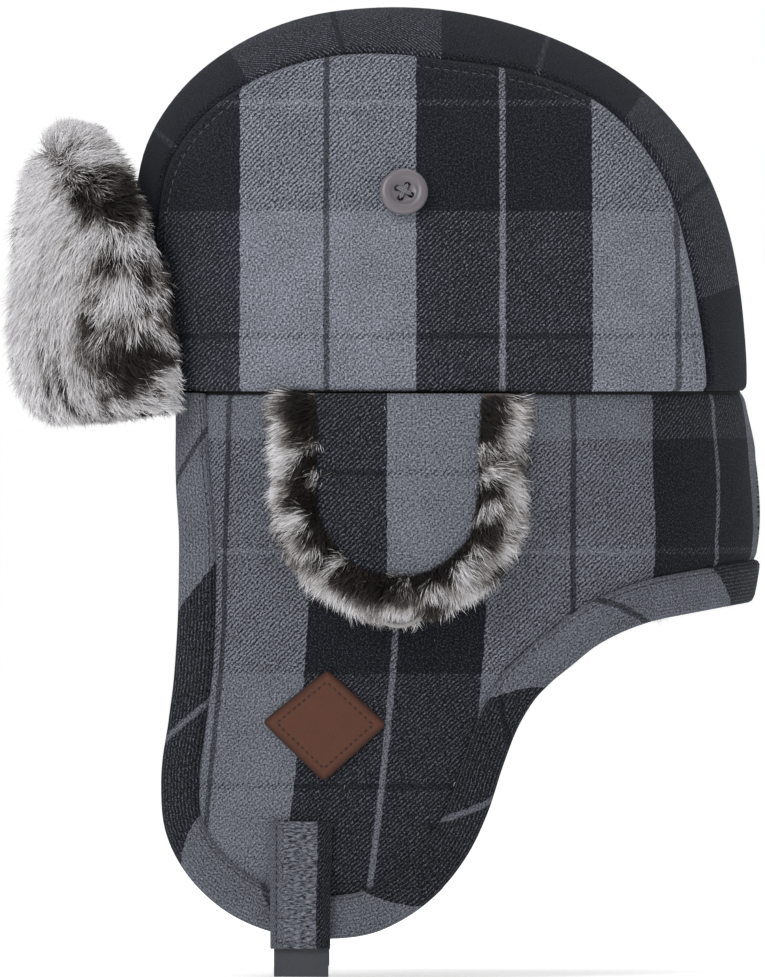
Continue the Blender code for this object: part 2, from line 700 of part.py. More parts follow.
def build_ear_flap(side, word):
    pivot = (side * FLAP_HINGE_X, 0.0, 0.0)
    hole = ear_hole_cutter(side, word)
    shell = sheet_between(
        f"{word}_ear_flap_shell", flap_grid(SHELL_INSET, 0), flap_grid(SHELL_INSET, -WOOL), (0.12, 0.13, 0.14), side=side, pivot=pivot
    )
    depth = WOOL + LAYER_GAP
    interlining = sheet_between(
        f"{word}_ear_flap_interlining", flap_grid(INTERLINING_INSET, -depth),
        flap_grid(INTERLINING_INSET, -depth - INTERLINING), (0.75, 0.75, 0.72), side=side, pivot=pivot,
    )
    depth += INTERLINING + LAYER_GAP
    fur = sheet_between(
        f"{word}_ear_flap_fur", flap_grid(1 * MM, -depth), flap_grid(3 * MM, -depth - FUR_LINING),
        (0.62, 0.61, 0.60), side=side, pivot=pivot,
    )
    for obj in (shell, interlining, fur):
        cut(obj, hole)
    binding_between(f"{word}_ear_flap_binding", flap_binding_edge(), side, (0.11, 0.115, 0.125), -1, pivot)

    start, across, down, out = strap_frame(side)
    height = STRAP_TOP - STRAP_FOLD
    rows = []
    for off in (0.4 * MM, 0.4 * MM + STRAP_THICKNESS):
        rows.append(np.array([
            [
                skirt_at(STRAP_Y + STRAP_WIDTH * (c - 0.5), STRAP_FOLD + 0.4 * MM + height * r, off)
                for c in np.linspace(0, 1, 4)
            ]
            for r in np.linspace(0, 1, 3)
        ]))
    sheet_between(f"{word}_strap_base", rows[1], rows[0], (0.10, 0.105, 0.115), side=side, pivot=pivot)


def build_strap(side, word):
    start, across, down, out = strap_frame(side)
    pivot = start + out * (STRAP_THICKNESS + 0.2 * MM)
    length = STRAP_FOLD - STRAP_END
    box_in_frame(
        f"{word}_chin_strap", start + out * 0.5 * STRAP_THICKNESS + down * (0.2 * MM + 0.5 * length),
        (across, down, out), (STRAP_WIDTH, length, STRAP_THICKNESS), (0.10, 0.105, 0.115), pivot=pivot, bevel=0.4 * MM,
    )
    tape = TAPE_TOP - TAPE_END
    middle = STRAP_FOLD - 0.5 * (TAPE_TOP + TAPE_END)
    kind = "hook" if side > 0 else "loop"
    inner = start - out * (GAP + 0.5 * TAPE_THICKNESS) + down * middle
    box_in_frame(
        f"{word}_strap_{kind}_tape", inner, (across, down, out), (TAPE_WIDTH, tape, TAPE_THICKNESS),
        (0.02, 0.02, 0.022), pivot=pivot,
    )


def build_patch():
    corners = np.array(PATCH_CORNERS_MM) * MM
    grids = []
    for off in (0.3 * MM + PATCH_THICKNESS, 0.3 * MM):
        grids.append(np.array([
            [
                skirt_at(*((1 - v) * ((1 - u) * corners[0] + u * corners[1]) + v * ((1 - u) * corners[3] + u * corners[2])), off)
                for u in np.linspace(0, 1, 5)
            ]
            for v in np.linspace(0, 1, 5)
        ]))
    sheet_between("leather_patch", grids[0], grids[1], (0.16, 0.07, 0.04), 0.6, pivot=(FLAP_HINGE_X, 0.0, 0.0))


def build_curtain():
    for side, word in ((1, "left"), (-1, "right")):
        sheet_between(
            f"{word}_curtain_shell", curtain_grid((0, 1), 0, 0, middle_gap=0.5 * GAP),
            curtain_grid((0, 1), 0, -WOOL, middle_gap=0.5 * GAP), (0.09, 0.095, 0.105), side=side,
        )
    depth = WOOL + LAYER_GAP
    sheet_between(
        "curtain_interlining", curtain_grid((-1, 1), INTERLINING_INSET, -depth, 22),
        curtain_grid((-1, 1), INTERLINING_INSET, -depth - INTERLINING, 22), (0.75, 0.75, 0.72),
    )
    depth += INTERLINING + LAYER_GAP
    sheet_between(
        "curtain_fur", curtain_grid((-1, 1), 1 * MM, -depth, 22),
        curtain_grid((-1, 1), 3 * MM, -depth - FUR_LINING, 22), (0.62, 0.61, 0.60),
    )
    for side, word in ((1, "left"), (-1, "right")):
        edge = []
        for s in np.linspace(1, 0, 12):
            turn, z = curtain_place(s, 1.0, 0)
            edge.append((min(turn, 89.9), z))
        binding_between(f"{word}_curtain_binding", edge, side, (0.08, 0.085, 0.095), 0)


def port_fur_off(w, z):
    """How far the port flap's fur stands off the ear flap: thin at the seam, thickest in the ring round the wool."""
    hang = min(1.0, (SKIRT_TOP - z) / (26 * MM))
    over = w - PORT_HALF_WIDTH
    if over < 1.5 * MM:
        high = PORT_FUR_INNER
    else:
        t = min(1.0, (over - 1.5 * MM) / (PORT_FUR_REACH - 1.5 * MM))
        high = PORT_FUR_INNER + (PORT_FUR_RING - PORT_FUR_INNER) * math.sin(math.pi * min(1.0, t * 1.15)) ** 0.7
        high = max(high, 2.5 * MM)
    return 0.4 * MM + PORT_FUR_TOP + (high - PORT_FUR_TOP) * hang


def build_port_flap(side, word):
    pivot = (side * PORT_HINGE_X, 0.0, SKIRT_TOP)
    reach = PORT_HALF_WIDTH + PORT_FUR_REACH
    sheet_between(
        f"{word}_port_flap_fur", port_patch(reach, port_fur_off, 7), port_patch(reach, lambda w, z: 0.4 * MM, 7),
        (0.62, 0.61, 0.60), side=side, pivot=pivot,
    )
    sheet_between(
        f"{word}_port_flap_shell",
        port_patch(PORT_HALF_WIDTH, lambda w, z: port_fur_off(0, z) + GAP + WOOL, 3),
        port_patch(PORT_HALF_WIDTH, lambda w, z: port_fur_off(0, z) + GAP, 3),
        (0.11, 0.115, 0.125), side=side, pivot=pivot,
    )


def build_loop(side, word):
    """The cord that slips over the button when the port flap is turned up."""
    pivot = (side * PORT_HINGE_X, 0.0, SKIRT_TOP)
    centre_z = 2 * SKIRT_TOP - BUTTON_Z + 1.0 * MM
    start_z = -(PORT_LENGTH + 1.2 * MM)
    path = []
    flat = [(-LOOP_HALF_WIDTH * 0.86, start_z)]
    for a in np.linspace(math.pi, 2 * math.pi, 11):
        flat.append((LOOP_HALF_WIDTH * math.cos(a), centre_z - 2 * MM + LOOP_HALF_WIDTH * math.sin(a)))
    flat.append((LOOP_HALF_WIDTH * 0.86, start_z))
    for y, z in flat:
        p = skirt_at(PORT_Y + y, z, PORT_FUR_RING + 0.4 * MM + GAP + LOOP_RADIUS + 0.3 * MM)
        p[0] *= side
        path.append(p)
    add_object(f"{word}_port_flap_loop", tube(path, LOOP_RADIUS, 8), (0.03, 0.03, 0.035), 0.8, pivot)


# ---------------------------------------------------------------- visor

def visor_grid(off_of, columns=12, rows=7, low=0.0, wide=1.0, high=1.0):
    grid = np.zeros((rows + 1, columns + 1, 3))
    for i in range(rows + 1):
        for j in range(columns + 1):
            u = -1 + 2 * j / columns
            v = low + (high - low) * i / rows
            grid[i, j] = visor_point(u * wide, v, off_of(u, v))
    return grid


def visor_fur_off(u, v):
    """The fur facing's front: full in the middle and near the base, thin at its rim."""
    side = (1 - abs(u) ** 5)
    up = math.sin(math.pi * min(1.0, max(0.0, 0.16 + 0.84 * (1 - v) * 0.92))) ** 0.55
    return WOOL + VISOR_STIFFENER + 2 * LAYER_GAP + VISOR_FUR_EDGE + (VISOR_FUR - VISOR_FUR_EDGE) * side * up


def build_visor():
    pivot = (0.0, -(CROWN_PROFILE_MM[0] * MM + 3 * MM + VISOR_STAND), VISOR_BOTTOM)
    sheet_between(
        "visor_shell", visor_grid(lambda u, v: WOOL), visor_grid(lambda u, v: 0.0), (0.09, 0.095, 0.105), pivot=pivot
    )
    depth = WOOL + LAYER_GAP
    sheet_between(
        "visor_stiffener", visor_grid(lambda u, v: depth + VISOR_STIFFENER, wide=0.94, low=0.03, high=0.95),
        visor_grid(lambda u, v: depth, wide=0.94, low=0.03, high=0.95), (0.7, 0.7, 0.68), pivot=pivot,
    )
    depth += VISOR_STIFFENER + LAYER_GAP
    sheet_between(
        "visor_fur", visor_grid(visor_fur_off, low=-0.06), visor_grid(lambda u, v: depth, low=-0.06),
        (0.62, 0.61, 0.60), pivot=pivot,
    )


# ---------------------------------------------------------------- assembly

def main():
    clear_scene()
    build_crown()
    build_visor()
    build_curtain()
    for side, word in ((1, "left"), (-1, "right")):
        build_button(side, word)
        build_ear_flap(side, word)
        build_port_flap(side, word)
        build_loop(side, word)
        build_strap(side, word)
    build_patch()


main()
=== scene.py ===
"""A trapper hat in checked wool with a fur visor, fur-lined ear flaps, ear-port flaps and chin straps.

Every piece is made in metres in the head's frame: +Z is up, the hat faces -Y and the wearer's left is +X. The
origin is the centre of the head opening at the height of the seam between crown and skirt.
"""

import logging
import math
from dataclasses import dataclass, field
from enum import Enum
from typing import Callable, Optional, Sequence

import bmesh
import bpy
import numpy as np
from mathutils import Matrix, Vector


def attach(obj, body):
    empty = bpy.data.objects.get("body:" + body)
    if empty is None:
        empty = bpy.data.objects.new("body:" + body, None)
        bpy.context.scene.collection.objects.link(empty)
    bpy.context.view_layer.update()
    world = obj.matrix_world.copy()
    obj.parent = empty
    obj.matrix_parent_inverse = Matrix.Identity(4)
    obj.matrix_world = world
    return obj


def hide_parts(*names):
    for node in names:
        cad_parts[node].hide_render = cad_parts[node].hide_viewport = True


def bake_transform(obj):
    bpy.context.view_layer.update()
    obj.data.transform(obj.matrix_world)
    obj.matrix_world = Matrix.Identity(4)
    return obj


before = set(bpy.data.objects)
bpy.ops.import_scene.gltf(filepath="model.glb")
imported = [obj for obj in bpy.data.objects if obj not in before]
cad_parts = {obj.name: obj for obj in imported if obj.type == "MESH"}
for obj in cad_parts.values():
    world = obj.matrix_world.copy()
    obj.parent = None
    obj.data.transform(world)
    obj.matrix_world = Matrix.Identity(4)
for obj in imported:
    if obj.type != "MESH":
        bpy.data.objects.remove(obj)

LOG = logging.getLogger("trapper_hat")
MM = 0.001
Array = np.ndarray
Place = Callable[[Array, Array], Array]
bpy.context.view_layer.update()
LEVELS = (0, -25, -50, -75, -100, -130, -160, -200, -230)


class Side(Enum):
    """The wearer's left or right, as the sign of X."""

    LEFT = 1
    RIGHT = -1

    @property
    def word(self) -> str:
        """The side's name in the CAD."""
        return self.name.lower()


class Ease(Enum):
    """How a grid's rows are spread."""

    EVEN = "even"
    ENDS = "closer together at both ends"


# ---------------------------------------------------------------- forms

class SmoothTable:
    """A smooth curve through a table's points, by Catmull-Rom spans."""

    def __init__(self, xs: Sequence[float], ys: Sequence[float]) -> None:
        """Samples the curve densely, so that many values are read at once.

        Args:
            xs: Where the points are, rising or falling.
            ys: The value at each.
        """
        x, y = np.asarray(xs, float), np.asarray(ys, float)
        if x[0] > x[-1]:
            x, y = x[::-1], y[::-1]
        self.at = np.linspace(x[0], x[-1], 600)
        slopes = np.gradient(y, x)
        i = np.clip(np.searchsorted(x, self.at) - 1, 0, len(x) - 2)
        span = x[i + 1] - x[i]
        s = (self.at - x[i]) / span
        self.values = (
            (2 * s**3 - 3 * s**2 + 1) * y[i] + (s**3 - 2 * s**2 + s) * span * slopes[i]
            + (3 * s**2 - 2 * s**3) * y[i + 1] + (s**3 - s**2) * span * slopes[i + 1]
        )

    def __call__(self, x: Array) -> Array:
        """The curve's value at each x, held at its ends."""
        return np.interp(x, self.at, self.values)


def ramp(x: Array, low: float, high: float) -> Array:
    """0 below low, 1 above high and a smooth step between."""
    t = np.clip((np.asarray(x, float) - low) / (high - low), 0, 1)
    return t * t * (3 - 2 * t)


def unit(v: Array) -> Array:
    """The vectors at length 1."""
    return v / np.maximum(np.linalg.norm(v, axis=-1, keepdims=True), 1e-12)


def steps_along(path: Array) -> Array:
    """How far along the path each of its points is."""
    return np.concatenate([[0], np.cumsum(np.linalg.norm(np.diff(path, axis=0), axis=1))])


def point_at(at: Array, steps: Array, path: Array) -> Array:
    """The path's points at the distances, where steps gives the distance of each of its own."""
    return np.stack([np.interp(at, steps, path[:, k]) for k in range(path.shape[1])], axis=-1)


def turned_out(out: Array, way: Array) -> Array:
    """The directions out, turned round where they point against way."""
    return np.where((np.sum(out * way, axis=-1) < 0)[:, None], -out, out)


def noise_at(points: Array, scale: float, seed: int = 0) -> Array:
    """Smooth value noise from -1 to 1 at each point, from sines that don't repeat over the hat.

    Args:
        points: The places, in metres.
        scale: The size of a lump, in metres.
        seed: Which pattern.

    Returns:
        One value for each point.
    """
    rng = np.random.default_rng(seed)
    total = np.zeros(len(points))
    for _ in range(9):
        way = unit(rng.normal(size=3)) * rng.uniform(0.6, 1.7) * math.pi / scale
        total += np.sin(points @ way + rng.uniform(0, 2 * math.pi))
    return np.clip(total / 3.2, -1, 1)


@dataclass(frozen=True)
class CrownForm:
    """The crown's outer skin, a boxy dome that bulges over the forehead."""

    half_width: float = 95 * MM
    power: float = 2.3
    profile: SmoothTable = field(default_factory=lambda: SmoothTable(
        range(0, 181, 10),
        (112.0, 113.6, 118.4, 128.0, 139.0, 144.4, 145.6, 144.4, 141.3, 138.2,
         135.7, 133.8, 131.8, 129.0, 125.0, 119.6, 115.0, 112.4, 111.2),
    ))
    strip: SmoothTable = field(default_factory=lambda: SmoothTable(
        (0, 40, 60, 75, 90, 105, 120, 135, 150, 180),
        (0.935, 0.930, 0.905, 0.890, 0.874, 0.892, 0.908, 0.893, 0.868, 0.870),
    ))

    def point(self, phi: Array, lam: Array, inset: Array) -> Array:
        """The skin at phi degrees from front over top to back and lam degrees from the middle, taken in by inset."""
        radius = self.profile(phi) * MM - inset
        a, p = np.radians(np.abs(lam)), np.radians(phi)
        out = np.sin(a) ** (2 / self.power) * (self.half_width - inset)
        share = np.maximum(np.cos(a), 0.0) ** (2 / self.power)
        return np.stack([np.copysign(out, lam), -share * radius * np.cos(p), share * radius * np.sin(p)], axis=-1)

    def seam(self, phi: Array) -> Array:
        """The lam of the seam between centre panel and side panel."""
        return np.degrees(np.arccos(self.strip(phi) ** (self.power / 2)))

    def seam_flat(self, phi: Array, short: Array = 0.0) -> Array:
        """The seam seen from the side, as (y, z), moved towards the opening's centre by short."""
        radius = self.profile(phi) * MM * self.strip(phi) - short
        p = np.radians(phi)
        return np.stack([-radius * np.cos(p), radius * np.sin(p)], axis=-1)

    def over(self, y: Array, z: Array, off: Array) -> Array:
        """The skin over a point seen from the wearer's left, off outside it."""
        phi = np.degrees(np.arctan2(np.maximum(z, 0.0), -y))
        radius = self.profile(phi) * MM
        share = np.minimum(np.hypot(y, z) / radius, 0.999)
        x = self.half_width * (1 - share**self.power) ** (1 / self.power)
        p = np.stack([x, y, z], axis=-1)
        h = 0.4 * MM
        wall = lambda a, b: self.half_width * (1 - np.minimum(
            np.hypot(a, b) / (self.profile(np.degrees(np.arctan2(np.maximum(b, 0.0), -a))) * MM), 0.999
        ) ** self.power) ** (1 / self.power)
        dy = (wall(y + h, z) - wall(y - h, z)) / (2 * h)
        dz = (wall(y, z + h) - wall(y, np.maximum(z - h, 0.0))) / (h + np.minimum(z, h) + 1e-9)
        n = unit(np.stack([np.ones_like(x), -dy, -np.where(z < h, 0.0, dz)], axis=-1))
        return p + n * np.asarray(off)[..., None]


@dataclass(frozen=True)
class SkirtForm:
    """The skirt's outer skin on the wearer's left, from which ear flap and neck curtain are cut."""

    power: float = 2.3
    half: SmoothTable = field(default_factory=lambda: SmoothTable(
        LEVELS, (92.5, 94.5, 94.5, 93.0, 90.5, 87.5, 84.5, 81.0, 79.0)
    ))
    front: SmoothTable = field(default_factory=lambda: SmoothTable(
        LEVELS, (110, 117, 123, 127, 129, 131, 132, 132, 132)
    ))
    back: SmoothTable = field(default_factory=lambda: SmoothTable(
        LEVELS, (109.8, 113.8, 115.4, 111.8, 108, 106, 105, 105, 105)
    ))

    def skin(self, turn: Array, z: Array) -> Array:
        """The skin at a turn in degrees, from straight out (0) to the middle of the back (90), and a height."""
        mm = np.asarray(z, float) / MM
        a = np.radians(np.abs(turn))
        along = np.sin(a) ** (2 / self.power)
        out = np.maximum(np.cos(a), 0.0) ** (2 / self.power)
        length = np.where(np.asarray(turn) < 0, -self.front(mm), self.back(mm))
        return np.stack([self.half(mm) * out, length * along, mm], axis=-1) * MM

    def turn_at(self, y: Array, z: Array) -> Array:
        """The turn at which the skin passes y at height z."""
        mm = np.asarray(z, float) / MM
        size = np.where(np.asarray(y) < 0, self.front(mm), self.back(mm)) * MM
        share = np.minimum(np.abs(y) / size, 1.0)
        return np.copysign(np.degrees(np.arcsin(share ** (self.power / 2))), y)

    def point(self, turn: Array, z: Array, off: Array) -> Array:
        """A point off outside the skin, or inside it where off is negative."""
        turn, z = np.asarray(turn, float), np.asarray(z, float)
        low = np.where(turn > 89.5, turn - 0.8, turn - 0.4)
        high = np.where(turn > 89.5, turn - 0.4, turn + 0.4)
        along = self.skin(high, z) - self.skin(low, z)
        up = self.skin(turn, z + 0.4 * MM) - self.skin(turn, z - 0.4 * MM)
        n = unit(np.cross(along, up))
        n[..., 0] = np.where(turn > 89.0, 0.0, n[..., 0])
        return self.skin(turn, z) + unit(n) * np.asarray(off)[..., None]

    def at(self, y: Array, z: Array, off: Array) -> Array:
        """A point off outside the skin where it passes (y, z)."""
        return self.point(self.turn_at(y, z), z, np.broadcast_to(off, np.shape(y)))

    def cloth(self, turn: Array, z: Array) -> Array:
        """Where the point lies on the uncut cloth, as (along, up) in metres: along is measured round the skirt."""
        share = np.linspace(0, 1, 33)[:, None]
        path = self.skin(share * np.asarray(turn)[None, :], np.broadcast_to(z, (33, len(turn))))
        length = np.linalg.norm(np.diff(path, axis=0), axis=-1).sum(axis=0)
        return np.stack([np.copysign(length, turn), z], axis=-1)


CROWN = CrownForm()
SKIRT = SkirtForm()


# ---------------------------------------------------------------- shader parts

class Graph:
    """A node tree that is being wired."""

    def __init__(self, tree: bpy.types.NodeTree) -> None:
        """Takes the tree to add nodes to."""
        self.tree = tree

    def add(self, kind: str, values: Optional[dict] = None, **settings: object) -> bpy.types.Node:
        """Adds a node.

        Args:
            kind: The node's type, without its ShaderNode beginning.
            values: What each input gets, by name or place: a number, a colour or another node's output.
            **settings: The node's own settings.

        Returns:
            The node.
        """
        node = self.tree.nodes.new("ShaderNode" + kind)
        for name, value in settings.items():
            setattr(node, name, value)
        for key, value in (values or {}).items():
            if isinstance(value, bpy.types.NodeSocket):
                self.tree.links.new(value, node.inputs[key])
            else:
                node.inputs[key].default_value = value
        return node

    def sum(self, kind: str, *values: object) -> bpy.types.NodeSocket:
        """The output of a Math node over the values."""
        return self.add("Math", dict(enumerate(values)), operation=kind).outputs[0]

    def blend(self, factor: object, low: object, high: object, kind: str = "MIX") -> bpy.types.NodeSocket:
        """The output of a colour mix from low to high."""
        node = self.add("Mix", data_type="RGBA", blend_type=kind)
        for place, value in ((0, factor), (6, low), (7, high)):
            if isinstance(value, bpy.types.NodeSocket):
                self.tree.links.new(value, node.inputs[place])
            else:
                node.inputs[place].default_value = value
        return node.outputs[2]

    def step(self, value: object, low: float, high: float) -> bpy.types.NodeSocket:
        """0 below low, 1 above high, smooth between."""
        node = self.add("MapRange", {0: value, 1: low, 2: high}, interpolation_type="SMOOTHSTEP")
        return node.outputs[0]


def new_group(name: str, inputs: Sequence[tuple], outputs: Sequence[tuple]) -> tuple:
    """Starts a shader node group.

    Args:
        name: The group's name.
        inputs: (name, socket type, default) of each input.
        outputs: (name, socket type) of each output.

    Returns:
        The group, its graph, its input node and its output node.
    """
    tree = bpy.data.node_groups.new(name, "ShaderNodeTree")
    for label, kind, value in inputs:
        made = tree.interface.new_socket(label, in_out="INPUT", socket_type="NodeSocket" + kind)
        if value is not None:
            made.default_value = value
    for label, kind in outputs:
        tree.interface.new_socket(label, in_out="OUTPUT", socket_type="NodeSocket" + kind)
    graph = Graph(tree)
    return tree, graph, tree.nodes.new("NodeGroupInput"), tree.nodes.new("NodeGroupOutput")


def check_group() -> bpy.types.NodeTree:
    """A brushed twill check: bands of light and dark yarn both ways, a thin stripe in each, and the twill's slope."""
    tree, g, start, end = new_group(
        "Brushed twill check",
        (("Cloth", "Vector", None), ("Column start", "Float", 0.0), ("Column band", "Float", 64.0),
         ("Row start", "Float", 0.0), ("Row band", "Float", 72.0), ("Column line", "Float", 0.5),
         ("Row line", "Float", 0.58), ("Warp light", "Color", (0.186, 0.197, 0.232, 1)),
         ("Weft light", "Color", (0.112, 0.119, 0.142, 1)), ("Dark", "Color", (0.0095, 0.0105, 0.0145, 1)),
         ("Pitch", "Float", 1.35), ("Warp share", "Float", 0.67)),
        (("Color", "Color"), ("Height", "Float")),
    )
    io = start.outputs
    mm = g.add("VectorMath", {0: io["Cloth"], 1: (1000, 1000, 1000)}, operation="MULTIPLY").outputs[0]
    wander = g.add("TexNoise", {"Vector": mm, "Scale": 0.35, "Detail": 2.0}, noise_dimensions="2D").outputs[1]
    wander = g.add("VectorMath", {0: wander, 1: (0.5, 0.5, 0.5)}, operation="SUBTRACT").outputs[0]
    placed = g.add("VectorMath", {0: wander, 1: (1.1, 1.1, 0), 2: mm}, operation="MULTIPLY_ADD").outputs[0]
    split = g.add("SeparateXYZ", {0: placed})

    def noise(scale: float, detail: float, rough: float = 0.5) -> bpy.types.NodeSocket:
        """Noise over the cloth, in mm."""
        values = {"Vector": mm, "Scale": scale, "Detail": detail, "Roughness": rough}
        return g.add("TexNoise", values, noise_dimensions="2D").outputs[0]

    def band(value: object, begin: object, size: object, line: object, wide: float) -> bpy.types.NodeSocket:
        """1 in a light band and 0 in a dark one, with the thin stripe turned the other way."""
        turn = g.sum("DIVIDE", g.sum("SUBTRACT", value, begin), size)
        light = g.sum("LESS_THAN", g.sum("FLOORED_MODULO", turn, 2.0), 1.0)
        inside = g.sum("FLOORED_MODULO", turn, 1.0)
        away = g.sum("MULTIPLY", g.sum("ABSOLUTE", g.sum("SUBTRACT", inside, line)), size)
        stripe = g.sum("MULTIPLY", g.sum("SUBTRACT", 1.0, g.step(away, wide * 0.8, wide * 1.2)), 0.8)
        swap = g.sum("SUBTRACT", 1.0, g.sum("MULTIPLY", light, 2.0))
        return g.sum("MULTIPLY_ADD", stripe, swap, light)

    across = band(split.outputs[0], io["Column start"], io["Column band"], io["Column line"], 1.1)
    upward = band(split.outputs[1], io["Row start"], io["Row band"], io["Row line"], 1.1)
    rise = g.sum("SUBTRACT", split.outputs[1], split.outputs[0])
    slope = g.sum("DIVIDE", rise, g.sum("MULTIPLY", io["Pitch"], 1.414))
    wave = g.sum("ABSOLUTE", g.sum("MULTIPLY_ADD", g.sum("FLOORED_MODULO", slope, 1.0), 2.0, -1.0))
    fine = noise(1.4, 2.5, 0.7)
    ragged = g.sum("MULTIPLY_ADD", g.sum("SUBTRACT", fine, 0.5), 2.4, wave)
    gate = g.sum("SUBTRACT", ragged, g.sum("MULTIPLY_ADD", across, -0.2, g.sum("ADD", io["Warp share"], 0.2)))
    shown = g.sum("SUBTRACT", 1.0, g.step(gate, -0.30, 0.30))
    warp = g.blend(across, io["Dark"], io["Warp light"])
    weft = g.blend(upward, io["Dark"], io["Weft light"])
    colour = g.blend(shown, weft, warp)
    fuzz = noise(1.5, 3.0, 0.85)
    cloud = noise(0.06, 2.0)
    shade = g.sum("ADD", g.sum("MULTIPLY_ADD", fuzz, 6.4, -2.2), g.sum("MULTIPLY_ADD", cloud, 0.4, -0.2))
    grey = g.add("CombineXYZ", {0: shade, 1: shade, 2: shade}).outputs[0]
    colour = g.blend(1.0, colour, grey, "MULTIPLY")
    lint = g.step(noise(1.6, 1.0), 0.56, 0.72)
    colour = g.blend(g.sum("MULTIPLY", lint, 0.16), colour, (0.20, 0.21, 0.25, 1))
    height = g.sum("MULTIPLY_ADD", g.sum("SUBTRACT", 1.0, wave), 0.25, g.sum("MULTIPLY", fuzz, 1.3))
    tree.links.new(colour, end.inputs["Color"])
    tree.links.new(height, end.inputs["Height"])
    return tree


def mottle_group() -> bpy.types.NodeTree:
    """Fine and broad unevenness: a mask round 0.5 and a height."""
    tree, g, start, end = new_group(
        "Uneven surface",
        (("Place", "Vector", None), ("Grain", "Float", 2000.0), ("Cloud", "Float", 60.0),
         ("Cloud share", "Float", 0.4)),
        (("Mask", "Float"), ("Height", "Float")),
    )
    io = start.outputs
    grain = g.add("TexNoise", {"Vector": io["Place"], "Scale": io["Grain"], "Detail": 3.0, "Roughness": 0.7}).outputs[0]
    cloud = g.add("TexNoise", {"Vector": io["Place"], "Scale": io["Cloud"], "Detail": 2.0}).outputs[0]
    mask = g.add("Mix", {0: io["Cloud share"], 2: grain, 3: cloud}).outputs[0]
    tree.links.new(mask, end.inputs["Mask"])
    tree.links.new(grain, end.inputs["Height"])
    return tree


class Groups:
    """The shared node groups, each built when it is first asked for."""

    made: dict = {}

    @classmethod
    def get(cls, build: Callable[[], bpy.types.NodeTree]) -> bpy.types.NodeTree:
        """The group that build makes."""
        if build.__name__ not in cls.made:
            cls.made[build.__name__] = build()
        return cls.made[build.__name__]


class Finish:
    """What every finish shares: a material with one shader, kept once it is made."""

    def build(self, g: Graph, shader: bpy.types.Node) -> None:
        """Wires the finish into the shader."""
        raise NotImplementedError

    def material(self) -> bpy.types.Material:
        """The finish's material, made when it is first asked for."""
        name = self.name + "_finish"
        if name in bpy.data.materials:
            return bpy.data.materials[name]
        made = bpy.data.materials.new(name)
        made.use_nodes = True
        g = Graph(made.node_tree)
        self.build(g, made.node_tree.nodes["Principled BSDF"])
        return made

    @staticmethod
    def bump(g: Graph, shader: bpy.types.Node, height: object, distance: float, strength: float = 1.0) -> None:
        """Feeds a height into the shader's normal."""
        node = g.add("Bump", {"Height": height, "Distance": distance, "Strength": strength})
        g.tree.links.new(node.outputs[0], shader.inputs["Normal"])


@dataclass(frozen=True)
class WoolFinish(Finish):
    """Brushed twill check, laid out by the piece's cloth coordinates, with its colours scaled for each piece: partly
    the piece's tone, partly painted shade.
    """

    name: str = "wool"
    column_start: float = -48.0
    column_band: float = 64.0
    row_start: float = 0.0
    row_band: float = 74.0
    column_line: float = 0.5
    row_line: float = 0.42
    pitch: float = 1.35
    # Scales the check's colours for each piece: partly its own tone, partly painted shade, lighter on the crown and
    # darker lower down.
    tone_and_painted_shade: float = 1.0

    def build(self, g: Graph, shader: bpy.types.Node) -> None:
        cloth = g.add("UVMap", uv_map="UVMap").outputs[0]
        group = g.add("Group", node_tree=Groups.get(check_group))
        for label, value in (
            ("Column start", self.column_start), ("Column band", self.column_band), ("Row start", self.row_start),
            ("Row band", self.row_band), ("Column line", self.column_line), ("Row line", self.row_line),
            ("Pitch", self.pitch),
        ):
            group.inputs[label].default_value = value
        # Scales the three colours by the piece's tone and painted shade.
        for label in ("Warp light", "Weft light", "Dark"):
            r, gr, b, _ = group.inputs[label].default_value
            group.inputs[label].default_value = (r * self.tone_and_painted_shade, gr * self.tone_and_painted_shade, b * self.tone_and_painted_shade, 1)
        g.tree.links.new(cloth, group.inputs["Cloth"])
        g.tree.links.new(group.outputs["Color"], shader.inputs["Base Color"])
        shader.inputs["Roughness"].default_value = 0.95
        shader.inputs["Specular IOR Level"].default_value = 0.08
        shader.inputs["Sheen Weight"].default_value = 0.05
        shader.inputs["Sheen Roughness"].default_value = 0.45
        shader.inputs["Sheen Tint"].default_value = (0.75, 0.8, 0.9, 1)
        self.bump(g, shader, group.outputs["Height"], 0.00045, 0.9)


@dataclass(frozen=True)
class FurFinish(Finish):
    """Long pile: dark at the root, silver at the tip, by each strand's own silver value."""

    name: str = "fur"
    dark: tuple = (0.010, 0.008, 0.0075, 1)
    brown: tuple = (0.085, 0.070, 0.063, 1)
    silver: tuple = (0.76, 0.75, 0.77, 1)

    def build(self, g: Graph, shader: bpy.types.Node) -> None:
        """Colours the pile from dark root to silver tip."""
        silver = g.add("Attribute", attribute_name="silver", attribute_type="GEOMETRY").outputs["Fac"]
        ramp_node = g.add("ValToRGB", {0: silver})
        bar = ramp_node.color_ramp
        bar.elements[0].position, bar.elements[0].color = 0.0, self.dark
        bar.elements[1].position, bar.elements[1].color = 1.0, self.silver
        for place, colour in ((0.3, self.brown), (0.62, (0.42, 0.40, 0.39, 1))):
            made = bar.elements.new(place)
            made.color = colour
        uneven = g.add("Group", node_tree=Groups.get(mottle_group))
        g.tree.links.new(g.add("TexCoord").outputs["Object"], uneven.inputs["Place"])
        uneven.inputs["Grain"].default_value = 900.0
        shade = g.sum("MULTIPLY_ADD", uneven.outputs["Mask"], 0.5, 0.76)
        grey = g.add("CombineXYZ", {0: shade, 1: shade, 2: shade}).outputs[0]
        g.tree.links.new(g.blend(1.0, ramp_node.outputs[0], grey, "MULTIPLY"), shader.inputs["Base Color"])
        shader.inputs["Roughness"].default_value = 0.62
        shader.inputs["Specular IOR Level"].default_value = 0.25


